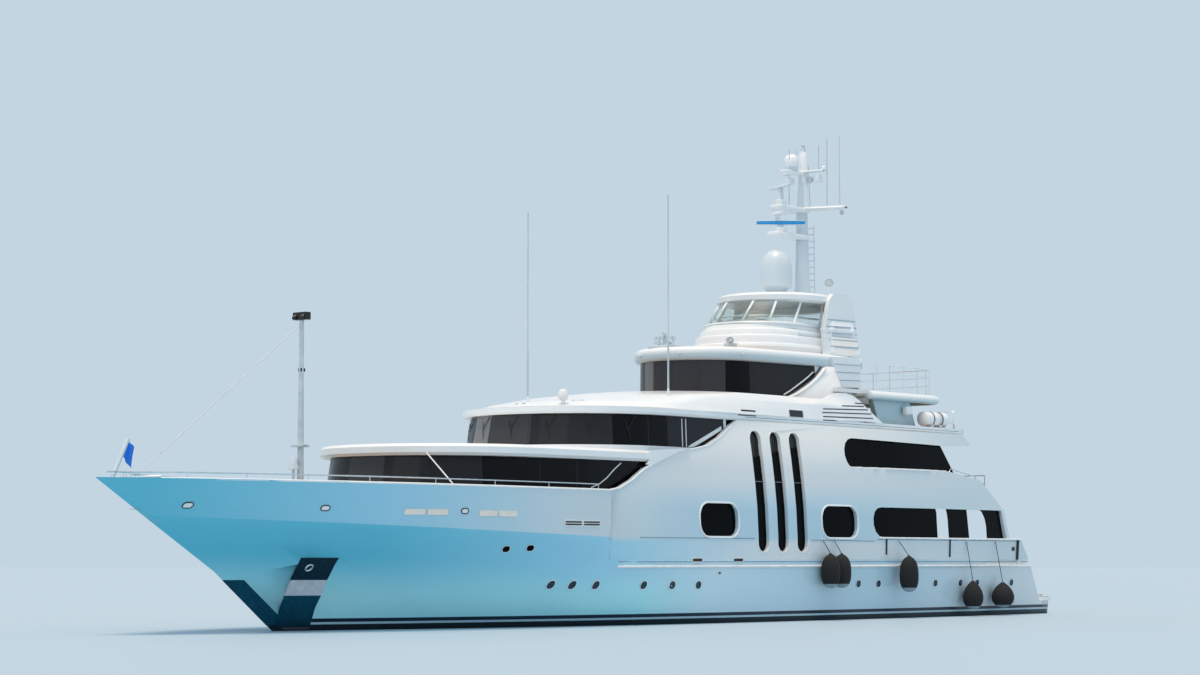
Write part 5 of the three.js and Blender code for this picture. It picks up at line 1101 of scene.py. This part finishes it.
# Fenders
# Inflated fenders in black knitted covers, hung along the port side on braided lanyards from eyes
# welded to the plating. Each has a pale lower end.
FENDER_COVER = finish("fender_cover", (12, 13, 16), (26, 28, 32), 34, (0.75, 0.92), 0.35, (1, 1, 0.25))
PALE_COVER = finish("pale_cover", (118, 140, 154), (150, 170, 182), 34, (0.7, 0.9), 0.3, (1, 1, 0.25))
ROPE = finish("braided_rope", (18, 22, 28), (44, 50, 58), 120, (0.75, 0.9), 0.5, (1, 1, 0.4))
PEAR = [(0, -1), (0.2, -0.99), (0.46, -0.92), (0.72, -0.78), (0.92, -0.55), (1, -0.28), (0.98, 0),
        (0.86, 0.3), (0.68, 0.55), (0.46, 0.76), (0.26, 0.9), (0.16, 0.96), (0.15, 1), (0, 1)]
LONG = [(0, -1), (0.3, -0.98), (0.58, -0.9), (0.8, -0.76), (0.94, -0.54), (1, -0.28), (1, 0),
        (0.97, 0.26), (0.88, 0.5), (0.72, 0.7), (0.5, 0.84), (0.28, 0.92), (0.17, 0.95), (0.16, 1), (0, 1)]
# node, x of each, z of the middle, radius, half-length, how far off the side, profile
FENDERS = [("fender_pair", (-3.43, -3.8), 0.98, 0.19, 0.34, 0.035, LONG),
           ("fender_middle", (-6.08,), 0.91, 0.195, 0.37, 0.02, LONG),
           ("fender_aft", (-8.7,), 0.45, 0.22, 0.3, 0.02, PEAR),
           ("fender_ball", (-9.92,), 0.44, 0.245, 0.27, 0.02, PEAR)]
EYE = arc(22.5 * k for k in range(16))
eyes = []
for node, places, mid, radius, half, off, profile in FENDERS:
    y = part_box(node)[1][1] - radius + off
    fitting(node + "_cover", FENDER_COVER, "fender_rubber", [
        ([(r * radius, h * half) for r, h in profile], (x, y, mid), 36) for x in places], sharp=60,
            instead=[node])
    fitting(node + "_pale_end", PALE_COVER, "fender_rubber", [
        ([(r * radius * 1.012, h * half * 1.012) for r, h in profile[:4]], (x, y, mid), 36) for x in places],
            sharp=60)
    for x in places:
        eye, top = on_skin(x, 1.57, 0.014), Vector((x, y, mid + half * 0.99))
        eyes.append([eye + Vector((0.022 * c, 0, 0.024 + 0.022 * s)) for c, s in EYE])
        line = rods(f"fender_lanyard_{len(eyes)}", [[eye.lerp(top, k / 16) for k in range(17)]], 0.0075, ROPE)
rods("fender_eyes", eyes, 0.007, STEEL, closed=True)
rods("bulwark_straps", [run(x, 1.62, x, low, 0.014, 1, 6) for x, low in ((-5.63, 1.3), (-8.035, 1.25))],
     0.018, BLACK_TRIM)
rods("quarter_strap", [run(-10.89, 1.62, -10.89, 1.2, 0.02, 1, 6)], 0.03, BLACK_TRIM)
holes = bmesh.new()
for sign in (1, -1):
    skin_pane(holes, outline_at(-10.72, 1.43, 0.06, 0.045, 0.044), 0.01, sign)
show("quarter_fairleads", holes, BLACK_TRIM, "dark_glass")

# Stern hatch and platform fittings
# The tender garage's hatch is hung at its top and sprayed with the hull. Cleats stand on the bathing
# platform.
softened("transom_hatch_skin", "transom_hatch", SIDE_GLOSS, "hull_paint", body="transom_hatch", sharp=30)
rods("hatch_pull", [[(-12.06, -0.15, 0.52), (-12.1, -0.15, 0.53), (-12.1, 0.15, 0.53), (-12.06, 0.15, 0.52)]],
     0.009, STEEL, body="transom_hatch")
rods("platform_cleats", both([(-12.3, 1.84, 0.37), (-12.3, 1.84, 0.41)],
                             [(-12.4, 1.84, 0.37), (-12.4, 1.84, 0.41)],
                             [(-12.23, 1.84, 0.415), (-12.47, 1.84, 0.415)]), 0.012, STEEL)

# Below water
# Steel shafts run in bearings on V struts, and each turns a cast bronze propeller with five blades.
# The rudders and the stabiliser fins are fabricated and painted with the bottom.
BOTTOM = finish("bottom_paint", (22, 36, 46), (34, 50, 62), 6, (0.6, 0.75), 0.1)
BRONZE = finish("cast_bronze", (150, 112, 62), (196, 154, 92), 12, (0.25, 0.42), 0.08, metallic=1)
for side in ("port", "starboard"):
    softened("shaft_skin_" + side, "shaft_" + side, STEEL, "stainless")
    softened("propeller_skin_" + side, "propeller_" + side, BRONZE, "bronze", body="propeller_" + side)
    softened("rudder_skin_" + side, "rudder_" + side, BOTTOM, "hull_paint", body="rudder_" + side)
    softened("stabiliser_skin_" + side, "stabiliser_fin_" + side, BOTTOM, "hull_paint")
